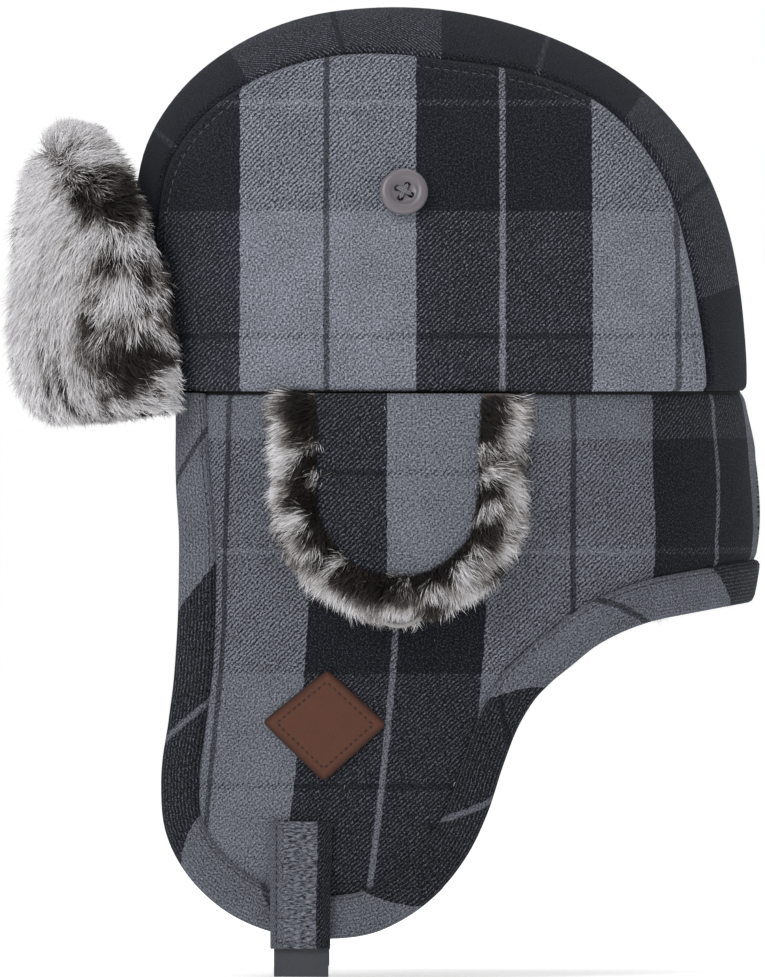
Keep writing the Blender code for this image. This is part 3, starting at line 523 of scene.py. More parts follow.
@dataclass(frozen=True)
class PlainFinish(Finish):
    """One colour with fine and broad unevenness, for lining, tape, thread, plastic and wadding."""

    name: str = "plain"
    colour: tuple = (0.1, 0.1, 0.1, 1)
    spread: float = 0.5
    grain: float = 2500.0
    cloud: float = 60.0
    rough: float = 0.85
    bump_depth: float = 0.0001
    specular: float = 0.3
    sheen: float = 0.0

    def build(self, g: Graph, shader: bpy.types.Node) -> None:
        """Varies the colour, the gloss and the surface."""
        uneven = g.add("Group", node_tree=Groups.get(mottle_group))
        g.tree.links.new(g.add("TexCoord").outputs["Object"], uneven.inputs["Place"])
        uneven.inputs["Grain"].default_value = self.grain
        uneven.inputs["Cloud"].default_value = self.cloud
        low = tuple(c * (1 - self.spread) for c in self.colour[:3]) + (1,)
        high = tuple(min(c * (1 + self.spread), 1.0) for c in self.colour[:3]) + (1,)
        g.tree.links.new(g.blend(uneven.outputs["Mask"], low, high), shader.inputs["Base Color"])
        rough = g.sum("MULTIPLY_ADD", uneven.outputs["Mask"], 0.2, self.rough - 0.1)
        g.tree.links.new(rough, shader.inputs["Roughness"])
        shader.inputs["Specular IOR Level"].default_value = self.specular
        shader.inputs["Sheen Weight"].default_value = self.sheen
        self.bump(g, shader, uneven.outputs["Height"], self.bump_depth)


@dataclass(frozen=True)
class LiningFinish(Finish):
    """Smooth woven lining with a fine diagonal weave and a soft gloss."""

    name: str = "lining"
    colour: tuple = (0.030, 0.031, 0.035, 1)

    def build(self, g: Graph, shader: bpy.types.Node) -> None:
        """Weaves the lining in its cloth coordinates."""
        cloth = g.add("UVMap", uv_map="UVMap").outputs[0]
        weave = g.add("TexWave", {"Vector": cloth, "Scale": 260.0, "Distortion": 0.5}, bands_direction="DIAGONAL")
        light = tuple(c * 1.9 for c in self.colour[:3]) + (1,)
        g.tree.links.new(g.blend(weave.outputs[1], self.colour, light), shader.inputs["Base Color"])
        shader.inputs["Roughness"].default_value = 0.42
        shader.inputs["Sheen Weight"].default_value = 0.2
        self.bump(g, shader, weave.outputs[1], 0.0001)


@dataclass(frozen=True)
class LeatherFinish(Finish):
    """Brown leather with pebble grain, darker burnished edges and scuffs."""

    name: str = "leather"
    colour: tuple = (0.078, 0.028, 0.016, 1)
    edge: tuple = (0.030, 0.011, 0.007, 1)

    def build(self, g: Graph, shader: bpy.types.Node) -> None:
        """Darkens towards the edge, whose distance the cloth coordinates give, and grains the face."""
        uv = g.add("SeparateXYZ", {0: g.add("UVMap", uv_map="UVMap").outputs[0]})
        near = [g.sum("MINIMUM", uv.outputs[k], g.sum("SUBTRACT", 1.0, uv.outputs[k])) for k in (0, 1)]
        inside = g.step(g.sum("MINIMUM", *near), 0.0, 0.09)
        place = g.add("TexCoord").outputs["Object"]
        cells = g.add("TexVoronoi", {"Vector": place, "Scale": 1500.0}, feature="SMOOTH_F1").outputs[0]
        uneven = g.add("Group", node_tree=Groups.get(mottle_group))
        g.tree.links.new(place, uneven.inputs["Place"])
        uneven.inputs["Cloud"].default_value = 160.0
        low, high = (tuple(c * k for c in self.colour[:3]) + (1,) for k in (0.62, 1.4))
        tone = g.blend(uneven.outputs["Mask"], low, high)
        g.tree.links.new(g.blend(inside, self.edge, tone), shader.inputs["Base Color"])
        g.tree.links.new(g.sum("MULTIPLY_ADD", uneven.outputs["Mask"], 0.3, 0.42), shader.inputs["Roughness"])
        shader.inputs["Specular IOR Level"].default_value = 0.2
        self.bump(g, shader, cells, 0.00025, 0.8)


# ---------------------------------------------------------------- finishes of this hat

SIDE_WOOL = WoolFinish("crown_side_wool", -72.4, 63.4, -19.2, 84.0, 0.49, 0.465, tone_and_painted_shade=1.1)
CENTRE_WOOL = WoolFinish("crown_centre_wool", 60.0, 120.0, -24.0, 80.0, 1.2, 0.5, tone_and_painted_shade=1.15)
# The skirt's scale of 0.78 is painted shade: it darkens the check where light falls off towards the back and bottom of
# the skirt.
SKIRT_WOOL = WoolFinish("skirt_wool", -112.0, 64.0, -186.0, 84.5, 0.5, 0.52, tone_and_painted_shade=0.78)
PORT_WOOL = WoolFinish("port_flap_wool", -19.0, 34.6, -90.0, 92.0, 1.2, 0.66, tone_and_painted_shade=0.9)
VISOR_WOOL = WoolFinish("visor_wool", -32.0, 64.0, -20.0, 72.0, tone_and_painted_shade=0.9)
BINDING_WOOL = WoolFinish("binding_wool", -20.0, 66.0, -200.0, 900.0, 0.5, 0.5, pitch=1.35, tone_and_painted_shade=0.66)
STRAP_WOOL = WoolFinish("strap_wool", -104.0, 56.0, -260.0, 120.0, 0.5, 1.4, tone_and_painted_shade=0.62)
FUR = FurFinish()
LINING = LiningFinish()
WADDING = PlainFinish("wadding", (0.62, 0.62, 0.60, 1), 0.2, 700.0, rough=0.95, bump_depth=0.0006)
BAND_TWILL = PlainFinish("sweatband_cotton", (0.028, 0.029, 0.033, 1), 0.3, 2200.0, rough=0.8)
PLASTIC = PlainFinish("button_plastic", (0.118, 0.107, 0.122, 1), 0.10, 300.0, 120.0, 0.36, 0.00002, 0.5)
PALE_THREAD = PlainFinish("pale_thread", (0.16, 0.16, 0.17, 1), 0.3, 3000.0, rough=0.8)
GREY_THREAD = PlainFinish("grey_thread", (0.085, 0.09, 0.10, 1), 0.3, 3000.0, rough=0.8)
DARK_THREAD = PlainFinish("dark_thread", (0.022, 0.021, 0.022, 1), 0.3, 3000.0, rough=0.8)
# Painted shadow: a near-black finish for the dark tubes sunk in the seams.
SEAM_SHADOW = PlainFinish("seam_painted_shadow", (0.012, 0.012, 0.014, 1), 0.3, 3000.0, rough=0.9)
LEATHER = LeatherFinish()
TAPE = PlainFinish("tape", (0.055, 0.057, 0.066, 1), 0.4, 1800.0, rough=0.9, bump_depth=0.0005)
ELASTIC = PlainFinish("elastic", (0.30, 0.29, 0.28, 1), 0.4, 2200.0, rough=0.85, bump_depth=0.0002)
RIM_WOOL = PlainFinish("ear_hole_rim_wool", (0.035, 0.037, 0.042, 1), 0.5, 1500.0, rough=0.95, bump_depth=0.0004)
STIFFENER = PlainFinish("stiffener", (0.5, 0.5, 0.48, 1), 0.1, 1200.0, rough=0.9)


# ---------------------------------------------------------------- mesh makers

def finished(bm: bmesh.types.BMesh, name: str, finish: Finish, body: str) -> bpy.types.Object:
    """Turns a bmesh into a piece.

    Args:
        bm: The mesh, in its place.
        name: The piece's name.
        finish: What it is made of.
        body: The CAD body it moves with, or nothing where it moves with none.

    Returns:
        The piece.
    """
    mesh = bpy.data.meshes.new(name)
    bm.to_mesh(mesh)
    bm.free()
    mesh.polygons.foreach_set("use_smooth", [True] * len(mesh.polygons))
    obj = bpy.data.objects.new(name, mesh)
    mesh.materials.append(finish.material())
    bpy.context.scene.collection.objects.link(obj)
    if body:
        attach(obj, body)
    return obj


def spread(share: Array, ease: Ease) -> Array:
    """Moves shares from 0 to 1 closer to both ends where the ease says so."""
    if ease is Ease.EVEN:
        return share
    return 0.45 * share + 0.55 * (0.5 - 0.5 * np.cos(np.pi * share))


def warped_sheet(
    columns: int, rows: int, place: Place, cloth: Optional[Place] = None,
    eases: tuple = (Ease.EVEN, Ease.EVEN), outward: Optional[Array] = None, ring: bool = False,
) -> bmesh.types.BMesh:
    """A flat grid of cloth laid over a form.

    Args:
        columns: How many faces across.
        rows: How many faces up.
        place: Gives the points for shares across and up, each from 0 to 1.
        cloth: Gives the cloth coordinates for the same shares, or nothing to keep the shares.
        eases: How columns and rows are spread.
        outward: The way the faces point. Without it they point away from the frame's upright axis.
        ring: Whether the first and last columns meet and are joined.

    Returns:
        The mesh, with its faces outwards and its cloth coordinates as a UV map.
    """
    bm = bmesh.new()
    bmesh.ops.create_grid(bm, x_segments=columns, y_segments=rows, size=0.5)
    co = np.array([v.co for v in bm.verts]) + 0.5
    u, v = spread(co[:, 0], eases[0]), spread(co[:, 1], eases[1])
    points = place(u, v)
    flat = cloth(u, v) if cloth else np.stack([u, v], axis=-1)
    for vert, p in zip(bm.verts, points):
        vert.co = p
    bm.verts.index_update()
    layer = bm.loops.layers.uv.new("UVMap")
    for face in bm.faces:
        for loop in face.loops:
            loop[layer].uv = flat[loop.vert.index][:2]
    if ring:
        bmesh.ops.remove_doubles(bm, verts=bm.verts, dist=1e-6)
    bm.normal_update()
    total = 0.0
    for face in bm.faces:
        centre = face.calc_center_median()
        way = Vector(outward) if outward is not None else Vector((centre.x, centre.y, max(centre.z, 0.0)))
        total += face.normal.dot(way.normalized()) * face.calc_area()
    if total < 0:
        bmesh.ops.reverse_faces(bm, faces=bm.faces)
    bm.normal_update()
    return bm


def thicken(obj: bpy.types.Object, thickness: float) -> None:
    """Gives a sheet its thickness, inwards from its face, with no loose rim."""
    made = obj.modifiers.new("thickness", "SOLIDIFY")
    made.thickness = thickness
    made.offset = -1.0
    made.use_even_offset = False


def flipped(points: Array, side: Side) -> Array:
    """The points on the given side, from points on the wearer's left."""
    points = np.array(points, float)
    points[..., 0] *= side.value
    return points


def joined(parts: Sequence[bmesh.types.BMesh]) -> bmesh.types.BMesh:
    """One bmesh of several, which are used up."""
    whole = bmesh.new()
    for part in parts:
        mesh = bpy.data.meshes.new("part")
        part.to_mesh(mesh)
        part.free()
        whole.from_mesh(mesh)
        bpy.data.meshes.remove(mesh)
    return whole


def tube_along(path: Array, radius: float, sides: int = 6) -> bmesh.types.BMesh:
    """A round thread or cord along a path, closed at its ends."""
    bm = bmesh.new()
    path = np.asarray(path, float)
    slopes = unit(np.gradient(path, axis=0))
    ring = bmesh.ops.create_circle(bm, segments=sides, radius=radius)["verts"]
    first = Vector(slopes[0]).to_track_quat("Z", "X")
    bmesh.ops.rotate(bm, verts=ring, matrix=first.to_matrix())
    bmesh.ops.translate(bm, verts=ring, vec=path[0])
    edges = list({e for v in ring for e in v.link_edges})
    bmesh.ops.contextual_create(bm, geom=edges)
    for k in range(1, len(path)):
        made = bmesh.ops.extrude_edge_only(bm, edges=edges)["geom"]
        verts = [g for g in made if isinstance(g, bmesh.types.BMVert)]
        edges = [g for g in made if isinstance(g, bmesh.types.BMEdge)]
        turn = Vector(slopes[k - 1]).rotation_difference(Vector(slopes[k]))
        bmesh.ops.translate(bm, verts=verts, vec=Vector(path[k] - path[k - 1]))
        bmesh.ops.rotate(bm, verts=verts, cent=path[k], matrix=turn.to_matrix())
    bmesh.ops.contextual_create(bm, geom=edges)
    bmesh.ops.recalc_face_normals(bm, faces=bm.faces)
    return bm


def stitches(path: Array, normals: Array, length: float, gap: float, radius: float) -> bmesh.types.BMesh:
    """A row of stitches along a path: short capsules, each sunk at its ends.

    Args:
        path: Points along the row.
        normals: The way out of the cloth at each.
        length: A stitch's length.
        gap: The space between stitches.
        radius: Half the thread's width.

    Returns:
        The stitches as one mesh.
    """
    steps = steps_along(path)
    count = max(1, int(steps[-1] / (length + gap)))
    template = bmesh.new()
    bmesh.ops.create_icosphere(template, subdivisions=1, radius=1.0)
    for vert in template.verts:
        vert.co.x *= 0.5 * length
        vert.co.y *= radius
        vert.co.z *= radius
    shape = np.array([v.co for v in template.verts])
    whole = bmesh.new()
    mesh = bpy.data.meshes.new("stitch")
    template.to_mesh(mesh)
    template.free()
    for k in range(count):
        whole.from_mesh(mesh)
    bpy.data.meshes.remove(mesh)
    at = (np.arange(count) + 0.5) * steps[-1] / count
    middle = point_at(at, steps, path)
    ahead = point_at(at + 0.3 * length, steps, path)
    back = point_at(at - 0.3 * length, steps, path)
    along = unit(ahead - back)
    n = unit(point_at(at, steps, normals))
    across = unit(np.cross(n, along))
    placed = (
        middle[:, None] + along[:, None] * shape[None, :, 0:1] + across[:, None] * shape[None, :, 1:2]
        + n[:, None] * (shape[None, :, 2:3] + 0.35 * radius)
    ).reshape(-1, 3)
    for vert, p in zip(whole.verts, placed):
        vert.co = p
    return whole


@dataclass
class Pile:
    """Fur: many tapered strands that stand on a surface and are combed one way."""

    strands: int
    width: float = 0.42 * MM
    segments: int = 3
    clump: float = 0.35
    clumps: int = 500
    seed: int = 1

    def template(self) -> tuple:
        """One strand as a tapered strip: its points as (across, along) shares, and its faces."""
        bm = bmesh.new()
        bmesh.ops.create_grid(bm, x_segments=1, y_segments=self.segments, size=0.5)
        top = [v for v in bm.verts if v.co.y > 0.49]
        bmesh.ops.pointmerge(bm, verts=top, merge_co=(0, 0.5, 0))
        bm.verts.index_update()
        points = np.array([(v.co.x, v.co.y + 0.5) for v in bm.verts])
        faces = [[v.index for v in f.verts] for f in bm.faces]
        bm.free()
        return points, faces

    def grow(
        self, name: str, root: Array, out: Array, comb: Array, length: Array, silver: Array, lift: Array, body: str
    ) -> bpy.types.Object:
        """Grows the pile.

        Args:
            name: The piece's name.
            root: Where each strand starts.
            out: The way out of the surface there.
            comb: The way the strand is combed.
            length: Each strand's length.
            silver: How silver each strand is, from 0 for dark to 1.
            lift: How far each stands up, from 0 to 1.
            body: The CAD body, or nothing where the pile moves with none.

        Returns:
            The piece, with each point's silver value kept as an attribute.
        """
        rng = np.random.default_rng(self.seed)
        count = len(root)
        comb = unit(comb - out * np.sum(comb * out, axis=-1, keepdims=True))
        stray = rng.normal(size=(count, 3))
        comb = unit(comb + 0.30 * stray)
        middles = rng.choice(count, size=min(self.clumps, count), replace=False)
        nearest = self.nearest(root, root[middles])
        ways = []
        for t in (np.arange(self.segments) + 0.5) / self.segments:
            up = (lift * (1 - 0.75 * t))[:, None]
            ways.append(unit(out * up + comb * (1 - up * 0.6) + 0.10 * stray * t))
        points = [root]
        for way in ways:
            points.append(points[-1] + way * (length / self.segments)[:, None])
        tips = points[-1][middles][nearest] - root[middles][nearest]
        for k in range(1, self.segments + 1):
            t = k / self.segments
            goal = root[middles][nearest] + tips * t
            points[k] = points[k] + (goal - points[k]) * (self.clump * t * t)
        spine = np.stack(points, axis=1)
        shape, faces = self.template()
        place = np.rint(shape[:, 1] * self.segments).astype(int)
        along = unit(spine[:, -1] - spine[:, 0])
        side = unit(np.cross(along, out + 0.9 * rng.normal(size=(count, 3))))
        widths = self.width * rng.uniform(0.7, 1.3, count)
        taper = 1 - 0.55 * shape[:, 1] ** 2
        placed = spine[:, place] + side[:, None] * (shape[:, 0] * taper)[None, :, None] * widths[:, None, None]
        per = len(shape)
        corner = np.array([k for f in faces for k in f])
        loops = (corner[None, :] + np.arange(count)[:, None] * per).ravel()
        sizes = np.tile([len(f) for f in faces], count)
        mesh = bpy.data.meshes.new(name)
        mesh.vertices.add(count * per)
        mesh.vertices.foreach_set("co", placed.astype(np.float32).ravel())
        mesh.loops.add(len(loops))
        mesh.loops.foreach_set("vertex_index", loops.astype(np.int32))
        mesh.polygons.add(len(sizes))
        mesh.polygons.foreach_set("loop_start", np.concatenate([[0], np.cumsum(sizes)[:-1]]).astype(np.int32))
        mesh.update(calc_edges=True)
        mesh.polygons.foreach_set("use_smooth", [True] * len(sizes))
        start = 1.02 - 0.96 * silver
        t = shape[:, 1][None, :]
        value = ramp((t - start[:, None] + 0.22) / 0.5, 0, 1)
        value = value * (0.16 + 0.84 * np.clip(silver * 1.3, 0, 1))[:, None]
        tone = rng.uniform(0.82, 1.08, count)[:, None]
        attribute = mesh.attributes.new("silver", "FLOAT", "POINT")
        attribute.data.foreach_set("value", np.clip(value * tone, 0, 1).astype(np.float32).ravel())
        obj = bpy.data.objects.new(name, mesh)
        mesh.materials.append(FUR.material())
        bpy.context.scene.collection.objects.link(obj)
        if body:
            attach(obj, body)
        return obj

    @staticmethod
    def nearest(points: Array, middles: Array) -> Array:
        """For each point, which of the middles is nearest."""
        from mathutils.kdtree import KDTree
        tree = KDTree(len(middles))
        for k, p in enumerate(middles):
            tree.insert(p, k)
        tree.balance()
        return np.array([tree.find(p)[1] for p in points])


def on_surface(place: Callable[[Array, Array], Array], count: int, seed: int, weight: Optional[Place] = None) -> tuple:
    """Spreads roots evenly over a surface.

    Args:
        place: Gives the surface's points for shares from 0 to 1.
        count: How many roots.
        seed: Which spread.
        weight: How dense the roots are, from 0 to 1, or nothing for even.

    Returns:
        The shares u and v, the points and the normals.
    """
    rng = np.random.default_rng(seed)
    gu, gv = np.meshgrid((np.arange(90) + 0.5) / 90, (np.arange(90) + 0.5) / 90)
    gu, gv = gu.ravel(), gv.ravel()
    h = 1 / 180
    du = place(gu + h, gv) - place(gu - h, gv)
    dv = place(gu, gv + h) - place(gu, gv - h)
    area = np.linalg.norm(np.cross(du, dv), axis=-1)
    if weight is not None:
        area = area * weight(gu, gv)
    cell = rng.choice(len(gu), size=count, p=area / area.sum())
    u = np.clip(gu[cell] + rng.uniform(-h, h, count), 1e-4, 1 - 1e-4)
    v = np.clip(gv[cell] + rng.uniform(-h, h, count), 1e-4, 1 - 1e-4)
    e = 1e-3
    a = place(np.minimum(u + e, 1), v) - place(np.maximum(u - e, 0), v)
    b = place(u, np.minimum(v + e, 1)) - place(u, np.maximum(v - e, 0))
    return u, v, place(u, v), unit(np.cross(a, b))


def points_of(obj: bpy.types.Object) -> Array:
    """The piece's own points."""
    return np.array([v.co for v in obj.data.vertices])


def silvered(obj: bpy.types.Object, values: Array) -> None:
    """Gives each point of a fur piece its silver value."""
    made = obj.data.attributes.new("silver", "FLOAT", "POINT")
    made.data.foreach_set("value", np.asarray(values, np.float32).ravel())


def kept_weights(obj: bpy.types.Object, bodies: tuple, weights: Array) -> None:
    """Bakes a piece's placement into its points, after spreading the weights over its points, one for each point or for
    each strand of a pile; the piece is not blended between the bodies.
    """
    weights = np.repeat(weights, len(obj.data.vertices) // len(weights))
    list(bodies)
    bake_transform(obj)


# ---------------------------------------------------------------- crown

@dataclass
class Crown:
    """The crown: a centre panel, two side panels, wadding, lining, sweatband and the buttons for the port flaps."""

    wool: float = 1.8 * MM
    wadding: float = 3.0 * MM
    lining: float = 1.2 * MM
    seam_depth: float = 1.5 * MM
    seam_reach: float = 3.2 * MM
    topstitch: float = 4.6 * MM

    def side_flat(self, u: Array, v: Array) -> Array:
        """The side panel seen from the side: u runs from front to back, v from the opening up to the seam."""
        phi = 180 * u
        seam = CROWN.seam_flat(phi, 0.15 * MM)
        front, back = CROWN.seam_flat(np.array([0.0, 180.0]), 0.15 * MM)
        bottom = front + (back - front) * u[:, None]
        return bottom + (seam - bottom) * v[:, None]

    def dent(self, distance: Array) -> Array:
        """How far wool is pulled in at a distance from its seam."""
        return self.seam_depth * np.exp(-((distance / (0.5 * self.seam_reach)) ** 2))

    def side_off(self, flat: Array, u: Array) -> Array:
        """How far the side panel stands off the form: pulled in at its seams and topstitching, puffed between."""
        y, z = flat[:, 0], flat[:, 1]
        phi = np.degrees(np.arctan2(np.maximum(z, 0), -y))
        to_seam = CROWN.profile(phi) * MM * CROWN.strip(phi) - np.hypot(y, z)
        off = -self.dent(to_seam) - 0.9 * self.dent(z * 1.5)
        off -= 0.45 * MM * np.exp(-(((to_seam - self.topstitch) / (1.0 * MM)) ** 2))
        off += 0.35 * MM * noise_at(np.stack([y, z, 0 * y], axis=-1), 32 * MM, 5)
        return off

    def side_place(self, side: Side, depth: float = 0.0, plain: bool = False) -> Place:
        """Gives points of the side panel, or of a layer depth inside it."""
        def place(u: Array, v: Array) -> Array:
            flat = self.side_flat(u, v)
            off = -depth if plain else self.side_off(flat, u) - depth
            return flipped(CROWN.over(flat[:, 0], flat[:, 1], np.broadcast_to(off, u.shape)), side)
        return place

    def centre_place(self, depth: float = 0.0, plain: bool = False, reach: float = 1.0) -> Place:
        """Gives points of the centre panel, or of a layer depth inside it: u across, v from front to back."""
        def place(u: Array, v: Array) -> Array:
            phi = 180 * v
            edge = CROWN.seam(phi)
            lam = (2 * u - 1) * edge * reach
            edge_mm = np.radians(edge * (1 - np.abs(2 * u - 1))) * 120 * MM
            ends = np.minimum(v, 1 - v) * math.pi * 125 * MM
            inset = depth if plain else depth + self.dent(edge_mm) + 0.9 * self.dent(ends * 1.5)
            p = CROWN.point(phi, lam, np.broadcast_to(inset, u.shape))
            if not plain:
                p += unit(p) * (0.4 * MM * noise_at(p, 40 * MM, 8))[:, None]
            p[:, 2] = np.maximum(p[:, 2], 0.0)
            return p
        return place

    def centre_cloth(self, u: Array, v: Array) -> Array:
        """The centre panel's place on the uncut cloth."""
        across = (2 * u - 1) * 52 * MM
        steps = np.linspace(0, 1, 200)
        path = CROWN.point(180 * steps, 0 * steps, 0 * steps)
        length = steps_along(path)
        return np.stack([across, np.interp(v, steps, length)], axis=-1)

    def panels(self) -> None:
        """Sews the three wool panels."""
        both = (Ease.ENDS, Ease.ENDS)
        centre = finished(warped_sheet(44, 130, self.centre_place(), self.centre_cloth, both), "crown_centre_panel",
                          CENTRE_WOOL, "crown")
        thicken(centre, self.wool)
        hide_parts("centre_panel")
        for side in Side:
            bm = warped_sheet(110, 64, self.side_place(side), self.side_flat, both)
            bmesh.ops.remove_doubles(bm, verts=bm.verts, dist=0.02 * MM)
            panel = finished(bm, f"{side.word}_crown_side_panel", SIDE_WOOL, "crown")
            thicken(panel, self.wool)
            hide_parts(f"{side.word}_side_panel")

    def topstitching(self) -> None:
        """Runs a row of stitches inside each seam, and a dark tube sunk along the seam itself as painted seam shadow.
        """
        phi = np.linspace(3, 177, 300)
        for side in Side:
            flat = CROWN.seam_flat(phi, self.topstitch)
            off = self.side_off(flat, phi / 180)
            row = CROWN.over(flat[:, 0], flat[:, 1], off)
            out = unit(CROWN.over(flat[:, 0], flat[:, 1], off + MM) - row)
            sewn = finished(stitches(flipped(row, side), flipped(out, side), 2.7 * MM, 0.7 * MM, 0.24 * MM),
                            f"{side.word}_crown_topstitching", GREY_THREAD, "crown")
            LOG.info("%s has %d points", sewn.name, len(sewn.data.vertices))
            # A near-black tube sunk under the seam, as painted seam shadow.
            flat = CROWN.seam_flat(phi, 0.0)
            deep = CROWN.over(flat[:, 0], flat[:, 1], np.full(len(phi), -2.0 * MM))
            finished(tube_along(flipped(deep[::3], side), 0.5 * MM), f"{side.word}_crown_seam_thread",
                     SEAM_SHADOW, "crown")

    def layers(self) -> None:
        """Puts in the wadding and the quilted lining, each as one dome, and the sweatband."""
        def dome(depth: float, quilt: float) -> Place:
            """The whole dome's points at a depth: u round the opening, v from the opening to the top."""
            def place(u: Array, v: Array) -> Array:
                turn = 2 * math.pi * u
                slope = 0.5 * math.pi * v
                way = np.stack([np.cos(slope) * np.sin(turn), -np.cos(slope) * np.cos(turn), np.sin(slope)], axis=-1)
                phi = np.degrees(np.arctan2(way[:, 2], -way[:, 1]))
                radius = self_radius(way, phi, depth)
                lines = np.minimum(np.abs(((u * 24) % 1) - 0.5), np.abs(((v * 7) % 1) - 0.5)) * 2
                sink = quilt * np.exp(-((lines / 0.16) ** 2))
                p = way * (radius - quilt + sink)[:, None]
                p[:, 2] += 0.8 * MM * (1 - v)
                return p
            return place

        def self_radius(way: Array, phi: Array, depth: float) -> Array:
            """How far the form reaches along each way, less depth."""
            length = CROWN.profile(phi) * MM - depth
            half = CROWN.half_width - depth
            flat = np.hypot(way[:, 1], way[:, 2]) / length
            return ((np.abs(way[:, 0]) / half) ** CROWN.power + flat**CROWN.power) ** (-1 / CROWN.power)

        depth = self.wool + 2.0 * MM
        pad = finished(warped_sheet(96, 40, dome(depth, 0.0), ring=True), "crown_wadding", WADDING, "crown")
        thicken(pad, self.wadding - 1.5 * MM)
        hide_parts("crown_padding")
        depth += self.wadding
        bm = warped_sheet(240, 70, dome(depth, 1.6 * MM), self.lining_cloth, ring=True)
        lining = finished(bm, "crown_quilted_lining", LINING, "crown")
        thicken(lining, 0.4 * MM)
        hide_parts("crown_lining")
        self.sweatband()

    def lining_cloth(self, u: Array, v: Array) -> Array:
        """The lining's place on its uncut cloth."""
        return np.stack([u * 0.56, v * 0.155], axis=-1)

    def sweatband(self) -> None:
        """Sews a folded band inside the opening, with a rolled lower edge and a row of stitches."""
        def place(u: Array, v: Array) -> Array:
            """Points of the band: u round the opening, v round its folded section."""
            turn = 2 * math.pi * u
            half, length = 84.6 * MM, 100.2 * MM
            section = 2 * math.pi * v
            z = 15.5 * MM - 13.6 * MM * np.cos(section)
            off = -1.0 * MM + 1.05 * MM * np.sin(section) - 0.25 * MM * np.sin(turn * 18) * np.sin(section * 0.5) ** 2
            x = np.copysign(np.abs(np.sin(turn)) ** (2 / 2.3), np.sin(turn)) * (half + off)
            y = -np.copysign(np.abs(np.cos(turn)) ** (2 / 2.3), np.cos(turn)) * (length + off)
            return np.stack([x, y, z], axis=-1)
        bm = warped_sheet(180, 26, place, lambda u, v: np.stack([u * 0.58, v * 0.06], axis=-1), ring=True)
        bmesh.ops.recalc_face_normals(bm, faces=bm.faces)
        band = finished(bm, "crown_sweatband", BAND_TWILL, "crown")
        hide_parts("sweatband")
        u = np.linspace(0, 1, 400)
        row = place(u, np.full(400, 0.78))
        inside = unit(row * np.array([-1, -1, 0]))
        finished(stitches(row + inside * 0.1 * MM, inside, 2.6 * MM, 1.0 * MM, 0.22 * MM), "sweatband_stitching",
                 GREY_THREAD, "crown")

    def skirt_seam_shadow(self) -> None:
        """Fills the seam between crown and skirt round the opening with a dark tube sunk between them: painted shadow
        in the seam.
        """
        turn = np.linspace(-90, 90, 120)
        half = SKIRT.point(np.clip(turn, -89.9, 90), np.full(120, -0.7 * MM), np.full(120, -2.6 * MM))
        half[0, 0] = half[-1, 0] = 0.0
        whole = np.concatenate([half, (half * np.array([-1, 1, 1]))[::-1][1:]])
        finished(tube_along(whole, 1.5 * MM, 8), "crown_to_skirt_seam", SEAM_SHADOW, "crown")

    def make(self) -> None:
        """Makes the whole crown."""
        self.skirt_seam_shadow()
        self.panels()
        self.topstitching()
        self.layers()
        for side in Side:
            Button(side).make()


